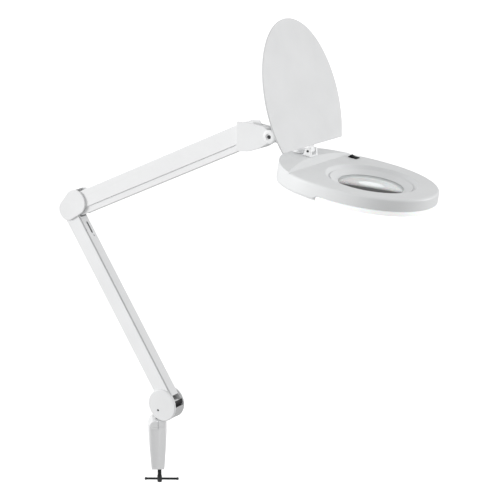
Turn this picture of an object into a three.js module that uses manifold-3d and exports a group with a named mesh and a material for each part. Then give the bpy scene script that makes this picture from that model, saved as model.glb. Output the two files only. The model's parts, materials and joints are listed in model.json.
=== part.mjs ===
// Clamp-on magnifying lamp with a two-stage spring-balanced arm, in millimetres, +Z up.
// The origin is on the swivel axis, at the upper jaw's contact face, where a table edge bears.
// The clamp opens towards +Y. Everything above the swivel stands in its own turned group, whose
// +X runs in the plane of the arms, towards the lamp head.
import * as THREE from 'three';
import { mergeVertices } from 'three/addons/utils/BufferGeometryUtils.js';
import Module from 'manifold-3d';

const wasm = await Module();
wasm.setup();

// ---- driving dimensions -------------------------------------------------------------------
const GAP = 0.3; // working gap between touching pieces
const FINE = 32; // facets of a large round
const COARSE = 12; // facets of a pin or a screw

const JAW_TOP = 22; // top of the clamp above the contact face
const CLAMP_BOTTOM = -85;
const CLAMP_X = -7.1; // the clamp's middle plane stands beside the swivel axis
const CLAMP_FRONT = -20; // outer face of the spine
const CLAMP_DEPTH = 58; // spine face to jaw tip
const CLAMP_WIDTH_TOP = 39;
const CLAMP_WIDTH_BOTTOM = 26;
const SPINE_THICKNESS = 9;
const LOWER_JAW_THICKNESS = 12;
const PAD_THICKNESS = 2;
const SCREW_X = -4;
const SCREW_Y = 14;
const SCREW_RADIUS = 4.2;
const SCREW_BOSS_RADIUS = 4.9;
const SCREW_TOP = -22;
const SCREW_END = -125;
const HANDLE_Z = -118;
const HANDLE_LENGTH = 72;
const HANDLE_TURN = -5; // degrees about Z from +X
const HANDLE_OFFSET = 4.4; // the bar rests slid along by this much
const HANDLE_RADIUS = 2.4;
const SPIGOT_RADIUS = 6;

const ARM_HEADING = -36.5; // degrees about Z from +X to the plane of the arms
const DISC_X = 15.3; // base disc centre ahead of the swivel axis
const DISC_Z = 57; // base disc centre above the contact face
const DISC_RADIUS = 33.6;
const COVER_INNER = 14; // half the clear width between a pair of covers
const COVER_OUTER = 17.8;

const ARM_LENGTH = 440; // pivot to pivot, both arms
const ARM_WIDTH = 27;
const ARM_WALL = 1.5;
const LINK_WIDTH = 22.6;
const LINK_WALL = 1.4;
const TONGUE_WIDTH = 18;
const PIN_RADIUS = 3;
const LINK_PIN_RADIUS = 2.5;
const WEB_START = 13; // a bar's web stops this far short of its pivots

const LOWER = {
  angle: 123.2, pivot: [2.7, 7.7], offset: [20, 0],
  above: 11, below: 22.5, linkAbove: 6, linkBelow: 8, endRadius: 22.5, webStart: WEB_START,
};
const UPPER = {
  angle: 24.1, pivot: [-200, 411.2], offset: [0, -28],
  above: 13, below: 21.5, linkAbove: 9, linkBelow: 9, endRadius: 21.5, webStart: -3,
};

const TILT_AXIS = [258.5, 581];
const TILT_BOSS_RADIUS = 13.2;

const HEAD_CENTRE = [467.3, 521.9]; // lens centre, on the plane of the deck
const HEAD_PITCH = -9; // degrees, nose down
const HEAD_MID_X = -25; // widest place of the head, behind the lens centre
const HEAD_FRONT_LENGTH = 151; // widest place to the nose
const HEAD_REAR_LENGTH = 150;
const HEAD_HALF_WIDTH = 128;
const HEAD_REAR_POWER = 2.4;
const SHELL_WALL = 2.6;
const FRONT_DEPTH = 22.7;
const DIFFUSER_DEPTH = 9.6;
const REAR_DEPTH = 28;
const REAR_START = -42; // the deep rear housing lies behind this
const EYE_CLEARANCE = 69; // and is hollowed out around the lens by this radius
const HUMP_FRONT = -110;
const HUMP_SLOPE = 16;
const HUMP_CROWN = 820; // radius of the hump's top across the head
const HUMP_HEIGHT = 8.5;
const FUNNEL_RADIUS = 84;
const LENS_RADIUS = 62.5;
const LENS_SEAT_H = -12;
const SWIVEL_X = -160; // head swivel axis

const LID_AXIS = [-133, 18.5];
const LID_OPEN = 113.9; // degrees, from closed over the deck
const LID_EDGE_X = 8.9; // flat edge ahead of the hinge axis, lid closed
const LID_LENGTH = 238;
const LID_HALF_WIDTH = 128;
const SWITCH = [-91, 94]; // centre of the rocker switch on the deck
const LID_UNDER = -7.55;
const LID_THICKNESS = 3;

// ---- materials ----------------------------------------------------------------------------
function finish(color, roughness, metalness) {
  return () => new THREE.MeshStandardMaterial({ color, roughness, metalness });
}
const whitePaint = finish(0xf1f2f2, 0.42, 0);
const whitePlastic = finish(0xeef0f0, 0.5, 0);
const greyPaint = finish(0xd4d6d8, 0.4, 0.1);
const satinMetal = finish(0xb4b6b9, 0.35, 0.9);
const darkSteel = finish(0x2c2e30, 0.4, 0.8);
const blackPlastic = finish(0x101112, 0.5, 0);
const blackRubber = finish(0x1a1a1b, 0.85, 0);
const clearGlass = finish(0xe8f2f4, 0.03, 0);
const opalPlastic = finish(0xfafafa, 0.6, 0);
const boardGreen = finish(0x2f5f43, 0.6, 0);

// ---- solid tools --------------------------------------------------------------------------
const radians = THREE.MathUtils.degToRad;

function toSolid(geometry) {
  const bare = geometry.clone();
  bare.deleteAttribute('normal');
  bare.deleteAttribute('uv');
  const merged = mergeVertices(bare, 1e-4);
  return new wasm.Manifold(new wasm.Mesh({
    numProp: 3,
    vertProperties: new Float32Array(merged.attributes.position.array),
    triVerts: new Uint32Array(merged.index.array),
  }));
}

function toGeometry(solid) {
  const mesh = solid.getMesh();
  const geometry = new THREE.BufferGeometry();
  geometry.setAttribute('position', new THREE.BufferAttribute(new Float32Array(mesh.vertProperties), 3));
  geometry.setIndex(new THREE.BufferAttribute(new Uint32Array(mesh.triVerts), 1));
  geometry.computeVertexNormals();
  return geometry;
}

function join(...geometries) {
  return toGeometry(geometries.map(toSolid).reduce((sum, solid) => sum.add(solid)));
}

function cut(geometry, ...tools) {
  return toGeometry(tools.map(toSolid).reduce((rest, tool) => rest.subtract(tool), toSolid(geometry)));
}

function common(...geometries) {
  return toGeometry(geometries.map(toSolid).reduce((rest, solid) => rest.intersect(solid)));
}

// ---- plain forms --------------------------------------------------------------------------
function drumY(radius, y0, y1, x = 0, z = 0, facets = COARSE) {
  return new THREE.CylinderGeometry(radius, radius, y1 - y0, facets).translate(x, (y0 + y1) / 2, z);
}

function drumZ(radius, z0, z1, x = 0, y = 0, facets = COARSE) {
  const drum = new THREE.CylinderGeometry(radius, radius, z1 - z0, facets);
  return drum.rotateX(Math.PI / 2).translate(x, y, (z0 + z1) / 2);
}

function drumX(radius, x0, x1, y = 0, z = 0, facets = COARSE) {
  const drum = new THREE.CylinderGeometry(radius, radius, x1 - x0, facets);
  return drum.rotateZ(Math.PI / 2).translate((x0 + x1) / 2, y, z);
}

function block(x0, x1, y0, y1, z0, z1) {
  const box = new THREE.BoxGeometry(x1 - x0, y1 - y0, z1 - z0);
  return box.translate((x0 + x1) / 2, (y0 + y1) / 2, (z0 + z1) / 2);
}

// An outline in X and Z, pulled along Y from y0 to y1, with its edges rounded over by edge.
function slabY(shape, y0, y1, edge = 0, curveSegments = 10) {
  const slab = new THREE.ExtrudeGeometry(shape, {
    depth: y1 - y0 - 2 * edge, curveSegments,
    bevelEnabled: edge > 0, bevelSize: edge, bevelThickness: edge, bevelOffset: -edge, bevelSegments: 1,
  });
  return slab.rotateX(Math.PI / 2).translate(0, y1 - edge, 0);
}

// An outline in X and Y, pulled along Z from z0 to z1.
function slabZ(shape, z0, z1, edge = 0, curveSegments = 10) {
  const slab = new THREE.ExtrudeGeometry(shape, {
    depth: z1 - z0 - 2 * edge, curveSegments,
    bevelEnabled: edge > 0, bevelSize: edge, bevelThickness: edge, bevelOffset: -edge, bevelSegments: 1,
  });
  return slab.translate(0, 0, z0 + edge);
}

// A ring or a disc about Z from pairs of radius and height. Open profiles start and end at radius 0.
function turned(profile, facets = FINE) {
  const points = profile.map(([radius, height]) => new THREE.Vector2(radius, height));
  return new THREE.LatheGeometry(points, facets).rotateX(Math.PI / 2);
}

// A closed profile runs against the clock, with radius to the right and height up.
function turnedRing(profile, facets = FINE) {
  return turned([...profile, profile[0]], facets);
}

function polygon(points) {
  return new THREE.Shape(points.map(([x, y]) => new THREE.Vector2(x, y)));
}

// A polygon with every corner rounded by its own or a shared radius.
function roundedPolygon(points, radius) {
  const shape = new THREE.Shape();
  const count = points.length;
  points.forEach((point, i) => {
    const corner = new THREE.Vector2(...point);
    const before = new THREE.Vector2(...points[(i + count - 1) % count]).sub(corner).setLength(radius);
    const after = new THREE.Vector2(...points[(i + 1) % count]).sub(corner).setLength(radius);
    before.add(corner);
    after.add(corner);
    if (i === 0) shape.moveTo(before.x, before.y);
    else shape.lineTo(before.x, before.y);
    shape.quadraticCurveTo(corner.x, corner.y, after.x, after.y);
  });
  shape.closePath();
  return shape;
}

// The outline of a belt run around two circles, each given as x, y, radius.
function belt([ax, ay, ar], [bx, by, br]) {
  const along = Math.atan2(by - ay, bx - ax);
  const lean = Math.acos((ar - br) / Math.hypot(bx - ax, by - ay));
  const shape = new THREE.Shape();
  shape.absarc(bx, by, br, along - lean, along + lean, false);
  shape.absarc(ax, ay, ar, along + lean, along - lean + 2 * Math.PI, false);
  shape.closePath();
  return shape;
}

// The same form on the other side of the plane of the arms, its triangles turned to face out.
function mirroredY(geometry) {
  const mirrored = mergeVertices(geometry.index ? geometry.toNonIndexed() : geometry.clone());
  mirrored.scale(1, -1, 1);
  const corners = mirrored.index;
  for (let i = 0; i < corners.count; i += 3) {
    const second = corners.getX(i + 1);
    corners.setX(i + 1, corners.getX(i + 2));
    corners.setX(i + 2, second);
  }
  mirrored.computeVertexNormals();
  return mirrored;
}

// ---- the assembly -------------------------------------------------------------------------
const lamp = new THREE.Group();
lamp.name = 'magnifying_lamp';

function put(group, name, geometry, material) {
  const mesh = new THREE.Mesh(geometry, material());
  mesh.name = name;
  group.add(mesh);
}

function childGroup(parent, x, z, turn) {
  const group = new THREE.Group();
  group.position.set(x, 0, z);
  group.rotation.y = radians(-turn);
  parent.add(group);
  return group;
}

// ---- clamp --------------------------------------------------------------------------------
function clampBracket() {
  const underJaw = PAD_THICKNESS + GAP;
  const back = CLAMP_FRONT + CLAMP_DEPTH;
  const throat = CLAMP_FRONT + SPINE_THICKNESS;
  const lowerTop = CLAMP_BOTTOM + LOWER_JAW_THICKNESS;
  const side = roundedPolygon([
    [CLAMP_FRONT, CLAMP_BOTTOM], [back - 12, CLAMP_BOTTOM], [back - 12, lowerTop], [throat, lowerTop],
    [throat, underJaw], [back, underJaw], [back, JAW_TOP - 6], [back - 22, JAW_TOP], [CLAMP_FRONT, JAW_TOP],
  ], 3);
  const profile = new THREE.ExtrudeGeometry(side, {
    depth: CLAMP_WIDTH_TOP, bevelEnabled: false, curveSegments: 3,
  });
  profile.rotateX(Math.PI / 2).rotateZ(Math.PI / 2).translate(-CLAMP_WIDTH_TOP / 2, 0, 0);
  const top = CLAMP_WIDTH_TOP / 2;
  const low = CLAMP_WIDTH_BOTTOM / 2;
  const front = slabY(roundedPolygon([
    [-low, CLAMP_BOTTOM], [low, CLAMP_BOTTOM], [top, 0], [top, JAW_TOP - 6], [top - 1, JAW_TOP],
    [-top + 9, JAW_TOP], [-top, JAW_TOP - 15], [-top, 0],
  ], 2.4), CLAMP_FRONT - 1, back + 1, 0, 3);
  const plan = slabZ(roundedPolygon([
    [-top, CLAMP_FRONT], [top, CLAMP_FRONT], [top, back], [-top, back],
  ], 12), CLAMP_BOTTOM - 1, JAW_TOP + 1, 0, 5);
  const socket = drumZ(SPIGOT_RADIUS + 3.3, 5, JAW_TOP + 1, 0, 0, 24);
  const screwHole = drumZ(SCREW_RADIUS + 0.5, CLAMP_BOTTOM - 1, lowerTop + 1, SCREW_X, SCREW_Y);
  const body = toGeometry(toSolid(common(profile, front, plan))).translate(CLAMP_X, 0, 0);
  return cut(body, socket, screwHole);
}

function clampScrew() {
  const boss = SCREW_BOSS_RADIUS;
  const shank = turned([
    [0, SCREW_END], [boss - 1, SCREW_END], [boss, SCREW_END + 1.2], [boss, HANDLE_Z + 7],
    [SCREW_RADIUS, HANDLE_Z + 8.5],
    [SCREW_RADIUS, SCREW_TOP], [3, SCREW_TOP + 1.5], [3, SCREW_TOP + 5], [0, SCREW_TOP + 5],
  ], COARSE);
  const hole = drumX(HANDLE_RADIUS + 0.4, -9, 9, 0, HANDLE_Z).rotateZ(radians(HANDLE_TURN));
  return cut(shank, hole).translate(SCREW_X, SCREW_Y, 0);
}

function clampHandle() {
  const half = HANDLE_LENGTH / 2;
  const bead = HANDLE_RADIUS + 0.6;
  const end = [[0, half], [2, half - 0.4], [bead, half - 1.4], [bead, half - 4], [HANDLE_RADIUS, half - 5]];
  const bar = [...end.map(([radius, x]) => [radius, -x]), ...end.reverse()];
  return turned(bar, 12).rotateY(Math.PI / 2).translate(HANDLE_OFFSET, 0, 0)
    .rotateZ(radians(HANDLE_TURN)).translate(SCREW_X, SCREW_Y, HANDLE_Z);
}

function makeClamp() {
  const back = CLAMP_FRONT + CLAMP_DEPTH;
  put(lamp, 'clamp_bracket', clampBracket(), greyPaint);
  const padStart = CLAMP_FRONT + 12;
  const pad = roundedPolygon([[-14, padStart], [14, padStart], [14, back - 4], [-14, back - 4]], 4);
  put(lamp, 'jaw_pad', slabZ(pad, 0, PAD_THICKNESS, 0, 3).translate(CLAMP_X, 0, 0), blackRubber);
  const bushingTop = JAW_TOP + 1.2;
  const flange = SPIGOT_RADIUS + 4.6;
  put(lamp, 'swivel_bushing', turnedRing([
    [SPIGOT_RADIUS + 0.3, 5.5], [SPIGOT_RADIUS + 3, 5.5], [SPIGOT_RADIUS + 3, JAW_TOP + 0.3],
    [flange, JAW_TOP + 0.3], [flange, bushingTop], [SPIGOT_RADIUS + 0.3, bushingTop],
  ], 24), blackPlastic);
  put(lamp, 'clamp_screw', clampScrew(), darkSteel);
  put(lamp, 'clamp_handle', clampHandle(), darkSteel);
  const foot = turned([
    [0, SCREW_TOP + 5.5], [3.4, SCREW_TOP + 5.5], [3.4, SCREW_TOP + 1.4], [7, SCREW_TOP + 1.4],
    [13, SCREW_TOP + 5], [13, SCREW_TOP + 8], [0, SCREW_TOP + 8],
  ], 24).translate(SCREW_X, SCREW_Y, 0);
  put(lamp, 'pressure_foot', foot, darkSteel);
  const grip = drumZ(11.5, SCREW_TOP + 8.3, SCREW_TOP + 10.3, SCREW_X, SCREW_Y, 24);
  put(lamp, 'foot_pad', grip, blackRubber);
}

// ---- base ---------------------------------------------------------------------------------
const swivel = new THREE.Group();
swivel.rotation.z = radians(ARM_HEADING);
lamp.add(swivel);
const base = childGroup(swivel, DISC_X, DISC_Z, 0);

const linkPivot = (arm) => [arm.pivot[0] + arm.offset[0], arm.pivot[1] + arm.offset[1]];
const farPivot = (arm, [x, z]) => [
  x + ARM_LENGTH * Math.cos(radians(arm.angle)), z + ARM_LENGTH * Math.sin(radians(arm.angle)),
];
const LOWER_LINK = linkPivot(LOWER);
const UPPER_LINK = linkPivot(UPPER);
const ELBOW_LOW = farPivot(LOWER, LOWER.pivot);
const ELBOW_LOW_LINK = farPivot(LOWER, LOWER_LINK);
const WRIST_PIN = farPivot(UPPER, UPPER.pivot);
const WRIST_LINK = farPivot(UPPER, UPPER_LINK);

function tongue(from, fromRadius, to, toRadius) {
  return slabY(belt([...from, fromRadius], [...to, toRadius]), -TONGUE_WIDTH / 2, TONGUE_WIDTH / 2, 0, 6);
}

function pinHole([x, z], radius) {
  return drumY(radius + GAP, -30, 30, x, z);
}

function baseCore() {
  const width = COVER_INNER - GAP;
  const slotTool = slabY(polygon([
    [60, 0], [0, 0], [-52, 30], [-52, 60], [60, 60],
  ]), -width - 1, width + 1);
  const drum = drumY(DISC_RADIUS - 0.5, -width, width, 0, 0, FINE);
  const armSpace = drumY(LOWER.endRadius + 2.9, -width - 1, width + 1, ...LOWER.pivot, 32);
  const linkSpace = drumY(LOWER.linkBelow + 2, -width - 1, width + 1, ...LOWER_LINK, 32);
  const rim = cut(drum, slotTool, armSpace, linkSpace);
  const tongues = [
    tongue(LOWER.pivot, 9, LOWER_LINK, 5.5),
    tongue(LOWER.pivot, 9, [0, -22], 9),
  ];
  const spigot = drumZ(SPIGOT_RADIUS, -DISC_Z + 7, -24, -DISC_X, 0, 24);
  const collar = drumZ(11, -DISC_Z + JAW_TOP + 1.6, -24, -DISC_X, 0, 24);
  return cut(
    join(rim, ...tongues, collar, spigot),
    pinHole(LOWER.pivot, PIN_RADIUS), pinHole(LOWER_LINK, LINK_PIN_RADIUS),
  );
}

function armGuard() {
  const [x, z] = LOWER_LINK;
  const end = LOWER.linkBelow;
  const half = LINK_WIDTH / 2;
  const outer = drumY(end + 1.3, -half, half, x, z, 48);
  const inner = drumY(end + GAP, -half - 1, half + 1, x, z, 48);
  const sector = slabY(polygon([[x, z], [x + 25, z - 30], [x + 40, z], [x + 40, z + 26]]), -half, half);
  return common(cut(outer, inner), sector);
}

function discCover() {
  const disc = drumY(DISC_RADIUS - 1.6, -COVER_OUTER, -COVER_INNER, 0, 0, FINE);
  const rim = drumY(DISC_RADIUS, -COVER_OUTER + 1.4, -COVER_INNER, 0, 0, FINE);
  return cut(join(disc, rim), drumY(2.4, -COVER_OUTER - 1, -COVER_INNER - 1.2, -9, -12));
}

function pin([x, z], radius, half) {
  return drumY(radius, -half, half, x, z);
}

function makeBase() {
  put(base, 'base_core', baseCore(), satinMetal);
  put(base, 'arm_guard', armGuard(), blackPlastic);
  put(base, 'base_cover_front', discCover(), whitePlastic);
  put(base, 'base_cover_rear', mirroredY(discCover()), whitePlastic);
  put(base, 'cover_screw_front', drumY(2.1, -COVER_OUTER + 0.6, -COVER_INNER - 1.5, -9, -12, 12), darkSteel);
  put(base, 'cover_screw_rear', drumY(2.1, COVER_INNER + 1.5, COVER_OUTER - 0.6, -9, -12, 12), darkSteel);
  put(base, 'base_arm_pin', pin(LOWER.pivot, PIN_RADIUS, COVER_INNER - GAP), satinMetal);
  put(base, 'base_link_pin', pin(LOWER_LINK, LINK_PIN_RADIUS, LINK_WIDTH / 2), satinMetal);
}

// ---- arms ---------------------------------------------------------------------------------
// Both arms are drawn along local +X from the near pivot, web side up, link side down.
function channel(arm) {
  const half = ARM_WIDTH / 2;
  const run = arm.endRadius;
  const side = belt([0, 0, run], [ARM_LENGTH, 0, run + 0.001]);
  const outer = common(
    slabY(side, -half, half, 0, 8),
    block(-run, ARM_LENGTH + run, -half, half, -arm.below, arm.above),
  );
  const inside = half - ARM_WALL;
  const end = ARM_LENGTH + run + 1;
  const hollow = block(-run - 1, end, -inside, inside, -arm.below - 1, arm.above - ARM_WALL);
  const nearEnd = block(-run - 1, arm.webStart, -inside, inside, -arm.below - 1, arm.above + 1);
  const farEnd = block(ARM_LENGTH - WEB_START, end, -inside, inside, -arm.below - 1, arm.above + 1);
  const holes = [pinHole([0, 0], PIN_RADIUS), pinHole([ARM_LENGTH, 0], PIN_RADIUS)];
  const farCorner = slabY(polygon([
    [ARM_LENGTH + 2, arm.above + 1], [ARM_LENGTH + 40, -2], [ARM_LENGTH + 40, arm.above + 1],
  ]), -half - 1, half + 1);
  return cut(outer, hollow, nearEnd, farEnd, farCorner, ...holes);
}

function link(arm) {
  const half = LINK_WIDTH / 2;
  const inside = half - LINK_WALL;
  const side = belt([0, 0, arm.linkBelow], [ARM_LENGTH, 0, arm.linkBelow + 0.001]);
  const outer = common(
    slabY(side, -half, half, 0, 6),
    block(-20, ARM_LENGTH + 20, -half, half, -arm.linkBelow, arm.linkAbove),
  );
  const floor = -arm.linkBelow + LINK_WALL;
  const hollow = block(-20, ARM_LENGTH + 20, -inside, inside, floor, arm.linkAbove + 1);
  const nearEnd = block(-20, WEB_START, -inside, inside, -20, 20);
  const farEnd = block(ARM_LENGTH - WEB_START, ARM_LENGTH + 20, -inside, inside, -20, 20);
  const openPivot = pinHole([ARM_LENGTH, 0], LINK_PIN_RADIUS + 0.3);
  return cut(outer, hollow, nearEnd, farEnd, pinHole([0, 0], LINK_PIN_RADIUS), openPivot);
}

// A drawn-up balance spring with a hook at each end, along +X.
function balanceSpring() {
  const coil = turned([[0, 0], [1, 0], [1, 10], [4.1, 12], [4.1, 268], [1, 270], [1, 280], [0, 280]], 12);
  return coil.rotateY(Math.PI / 2);
}

function makeArm(name, arm) {
  const heightOfSprings = arm.above - 6.4;
  const group = childGroup(base, ...arm.pivot, arm.angle);
  const linkGroup = childGroup(base, ...linkPivot(arm), arm.angle);
  put(group, `${name}_arm_channel`, channel(arm), whitePaint);
  put(linkGroup, `${name}_arm_link`, link(arm), whitePaint);
  [['front', -5.4], ['rear', 5.4]].forEach(([side, y]) => {
    put(group, `${name}_spring_${side}`, balanceSpring().translate(34, y, heightOfSprings), satinMetal);
  });
  const anchorHalf = ARM_WIDTH / 2 - ARM_WALL - GAP;
  const anchor = drumY(2.5, -anchorHalf, anchorHalf, 318, heightOfSprings);
  put(group, `${name}_spring_anchor`, anchor, satinMetal);
}

// ---- elbow --------------------------------------------------------------------------------
const ELBOW_LOBES = [[-234, 382, 22], [-213, 400.5, 26.5]];

function elbowCap() {
  return slabY(belt(...ELBOW_LOBES), -COVER_OUTER, -COVER_INNER, 1.3, 14);
}

function elbowCore() {
  const width = COVER_INNER - GAP;
  const inset = ELBOW_LOBES.map(([x, z, radius]) => [x, z, radius - 1.2]);
  const corner = common(
    slabY(belt(...inset), -width, width, 0, 12),
    slabY(polygon([[-262, 393], [-228, 393], [-216, 408], [-216, 440], [-262, 440]]), -width, width),
  );
  const clear = [
    drumY(LOWER.endRadius + 0.8, -width - 1, width + 1, ...ELBOW_LOW, 32),
    drumY(UPPER.endRadius + 0.8, -width - 1, width + 1, ...UPPER.pivot, 32),
  ];
  const plates = [
    tongue(ELBOW_LOW, 9, UPPER.pivot, 9),
    tongue(ELBOW_LOW, 9, ELBOW_LOW_LINK, 5.5),
    tongue(UPPER.pivot, 9, UPPER_LINK, 5.5),
    tongue(ELBOW_LOW_LINK, 5.5, UPPER_LINK, 5.499),
    tongue([-222, 396], 6, [-233, 402], 4),
  ];
  return cut(
    join(cut(corner, ...clear), ...plates),
    pinHole(ELBOW_LOW, PIN_RADIUS), pinHole(ELBOW_LOW_LINK, LINK_PIN_RADIUS),
    pinHole(UPPER.pivot, PIN_RADIUS), pinHole(UPPER_LINK, LINK_PIN_RADIUS),
  );
}

function makeElbow() {
  put(base, 'elbow_core', elbowCore(), whitePaint);
  put(base, 'elbow_cap_front', elbowCap(), whitePlastic);
  put(base, 'elbow_cap_rear', mirroredY(elbowCap()), whitePlastic);
  put(base, 'elbow_lower_arm_pin', pin(ELBOW_LOW, PIN_RADIUS, COVER_INNER - GAP), satinMetal);
  put(base, 'elbow_lower_link_pin', pin(ELBOW_LOW_LINK, LINK_PIN_RADIUS, LINK_WIDTH / 2), satinMetal);
  put(base, 'elbow_upper_arm_pin', pin(UPPER.pivot, PIN_RADIUS, COVER_INNER - GAP), satinMetal);
  put(base, 'elbow_upper_link_pin', pin(UPPER_LINK, LINK_PIN_RADIUS, LINK_WIDTH / 2), satinMetal);
}

// ---- wrist --------------------------------------------------------------------------------
const WRIST_CORE_X = 225;
const WRIST_OUTLINE = [
  [184, 546], [212, 548.5], [236, 556.5], [253, 567], [262, 573], [262, 586], [246, 599],
  [222, 602.5], [184, 604],
];

// the outline of a side shell, its top edge lowered by a drop
const wristOutline = (drop) => WRIST_OUTLINE.map(([x, z]) => [x, z > 580 ? z - drop : z]);

function wristShell(drop) {
  return cut(
    slabY(roundedPolygon(wristOutline(drop), 4), -COVER_OUTER + 0.4, -COVER_INNER, 1, 3),
    pinHole(TILT_AXIS, PIN_RADIUS),
  );
}

function wristCore() {
  const width = COVER_INNER - GAP;
  const body = slabY(roundedPolygon([
    [WRIST_CORE_X, 555], [236, 559], [240, 566], [240, 593], [WRIST_CORE_X, 597],
  ], 2), -width, width, 0, 3);
  const plates = [
    tongue(WRIST_PIN, 9, [WRIST_CORE_X + 4, 588], 8),
    tongue(WRIST_LINK, 5.5, [WRIST_CORE_X + 4, 566], 6),
  ];
  return cut(
    join(body, ...plates),
    pinHole(WRIST_PIN, PIN_RADIUS), pinHole(WRIST_LINK, LINK_PIN_RADIUS),
    drumY(12.2, -width - 1, width + 1, ...TILT_AXIS, 24),
  );
}

function tiltBoss() {
  const [x, z] = TILT_AXIS;
  const face = -COVER_OUTER;
  return cut(
    join(
      drumY(TILT_BOSS_RADIUS, face - 2.2, face + 0.1, x, z, 28),
      drumY(TILT_BOSS_RADIUS - 1.6, face - 3.4, face, x, z, 28),
    ),
    drumY(3.4, face - 5, face + 1, x, z, 6),
  );
}

function makeWrist() {
  const [x, z] = TILT_AXIS;
  put(base, 'wrist_shell_front', wristShell(0), whitePlastic);
  put(base, 'wrist_shell_rear', mirroredY(wristShell(4)), whitePlastic);
  put(base, 'wrist_core', wristCore(), whitePaint);
  put(base, 'wrist_arm_pin', pin(WRIST_PIN, PIN_RADIUS, COVER_INNER - GAP), satinMetal);
  put(base, 'wrist_link_pin', pin(WRIST_LINK, LINK_PIN_RADIUS, LINK_WIDTH / 2), satinMetal);
  put(base, 'tilt_bolt', pin(TILT_AXIS, PIN_RADIUS - 0.3, COVER_OUTER + 1.6), darkSteel);
  put(base, 'tilt_boss_front', tiltBoss(), whitePlastic);
  put(base, 'tilt_boss_rear', mirroredY(tiltBoss()), whitePlastic);
  [['front', -1], ['rear', 1]].forEach(([side, sign]) => {
    const washer = cut(drumY(10, 12.1, 13.7, x, z, 24), drumY(3.3, 11, 15, x, z));
    put(base, `tilt_washer_${side}`, sign > 0 ? washer : mirroredY(washer), satinMetal);
  });
}

// ---- head ---------------------------------------------------------------------------------
const head = childGroup(base, ...HEAD_CENTRE, HEAD_PITCH);

// The plan of the head, drawn inset by a margin: half an ellipse ahead, fuller behind.
function headOutline(margin) {
  const steps = 48;
  const points = [];
  for (let i = 0; i < steps; i += 1) {
    const angle = (2 * Math.PI * (i + 0.5)) / steps;
    const behind = Math.cos(angle) < 0;
    const power = behind ? HEAD_REAR_POWER : 2;
    const length = behind ? HEAD_REAR_LENGTH : HEAD_FRONT_LENGTH;
    const reach = (value) => Math.sign(value) * Math.abs(value) ** (2 / power);
    const x = HEAD_MID_X + (length - margin) * reach(Math.cos(angle));
    const y = (HEAD_HALF_WIDTH - margin) * reach(Math.sin(angle));
    points.push([x, y]);
  }
  return polygon(points);
}

// A full block of the head's plan, cut off by lines across it.
function planBlock(margin, low, high, from = -400, to = 400) {
  const whole = slabZ(headOutline(margin), low, high);
  return common(whole, block(from, to, -200, 200, low - 1, high + 1));
}

// The zone of the deep rear housing: behind a line across the head, and clear of the lens.
function rearZone(margin, setback, low, high) {
  return cut(
    planBlock(margin, low, high, -400, REAR_START - setback),
    drumZ(EYE_CLEARANCE + setback, low - 1, high + 1, 0, 0, FINE),
  );
}

function headTopShell() {
  const humpTop = HUMP_FRONT - HUMP_SLOPE;
  const outerDeck = join(planBlock(0, -FRONT_DEPTH, -3.5), planBlock(1.6, -4, -1.2), planBlock(4.5, -2, 0));
  const outerRear = rearZone(0, 0, -REAR_DEPTH, -3.5);
  const hump = common(
    planBlock(0.6, -3, HUMP_HEIGHT, -400, HUMP_FRONT),
    slabY(polygon([
      [-300, -4], [HUMP_FRONT, -4], [HUMP_FRONT, 0.2], [humpTop, HUMP_HEIGHT], [-300, 4],
    ]), -200, 200),
    drumX(HUMP_CROWN, -300, 0, 0, HUMP_HEIGHT - HUMP_CROWN, 360),
  );
  const wall = SHELL_WALL;
  const insideFront = cut(planBlock(wall, -40, -wall - 1.5), rearZone(-1, 0, -41, -FRONT_DEPTH));
  const insideRear = rearZone(wall, wall, -40, -wall - 1.5);
  const bowlTop = FUNNEL_RADIUS + 5;
  const bowl = turned([
    [0, LENS_SEAT_H - 3], [LENS_RADIUS + 3, LENS_SEAT_H - 3], [LENS_RADIUS + 3, LENS_SEAT_H - 0.5],
    [bowlTop - 8, -9.6], [bowlTop, -wall], [bowlTop, -0.2], [0, -0.2],
  ]);
  const opening = turned([
    [0, LENS_SEAT_H - 5], [LENS_RADIUS - 2, LENS_SEAT_H - 5], [LENS_RADIUS - 2, LENS_SEAT_H + 0.5],
    [LENS_RADIUS + 4, LENS_SEAT_H + 2.4], [FUNNEL_RADIUS - 6.5, -6.6], [FUNNEL_RADIUS, 0],
    [FUNNEL_RADIUS, 2], [0, 2],
  ]);
  const lensSeat = drumZ(LENS_RADIUS + 0.6, LENS_SEAT_H - 5, LENS_SEAT_H - 0.5, 0, 0, FINE);
  const swivelHole = drumZ(5.6, -20, 20, SWIVEL_X);
  const [sx, sy] = SWITCH;
  const switchHole = block(sx - 8.3, sx + 8.3, sy - 6.6, sy + 6.6, -12, 4);
  const shell = cut(join(outerDeck, outerRear, hump), insideFront, insideRear);
  return cut(join(shell, bowl), opening, lensSeat, swivelHole, switchHole);
}

function rearCover() {
  const plate = rearZone(0.6, 0.4, -REAR_DEPTH - 3.4, -REAR_DEPTH - GAP);
  const lip = rearZone(3.2, 3.2, -REAR_DEPTH - 1, -REAR_DEPTH + 4);
  const inner = rearZone(5, 5, -REAR_DEPTH - 1, -REAR_DEPTH + 6);
  return join(plate, cut(lip, inner));
}

function diffuser() {
  const low = -FRONT_DEPTH - DIFFUSER_DEPTH;
  const high = -FRONT_DEPTH - GAP;
  const rear = rearZone(-1, -0.6, low - 1, high + 1);
  const outer = cut(join(planBlock(3.6, low, low + 2), planBlock(1.4, low + 1.4, high)), rear);
  const inner = cut(planBlock(3.2, low + 2, high + 1), rearZone(-1, -2.6, low, high + 2));
  const eye = drumZ(LENS_RADIUS + 1.4, low + 1.9, high, 0, 0, FINE);
  const eyeHole = drumZ(LENS_RADIUS - 1, low - 1, high + 2, 0, 0, FINE);
  return cut(join(cut(outer, inner), eye), eyeHole);
}

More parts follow.
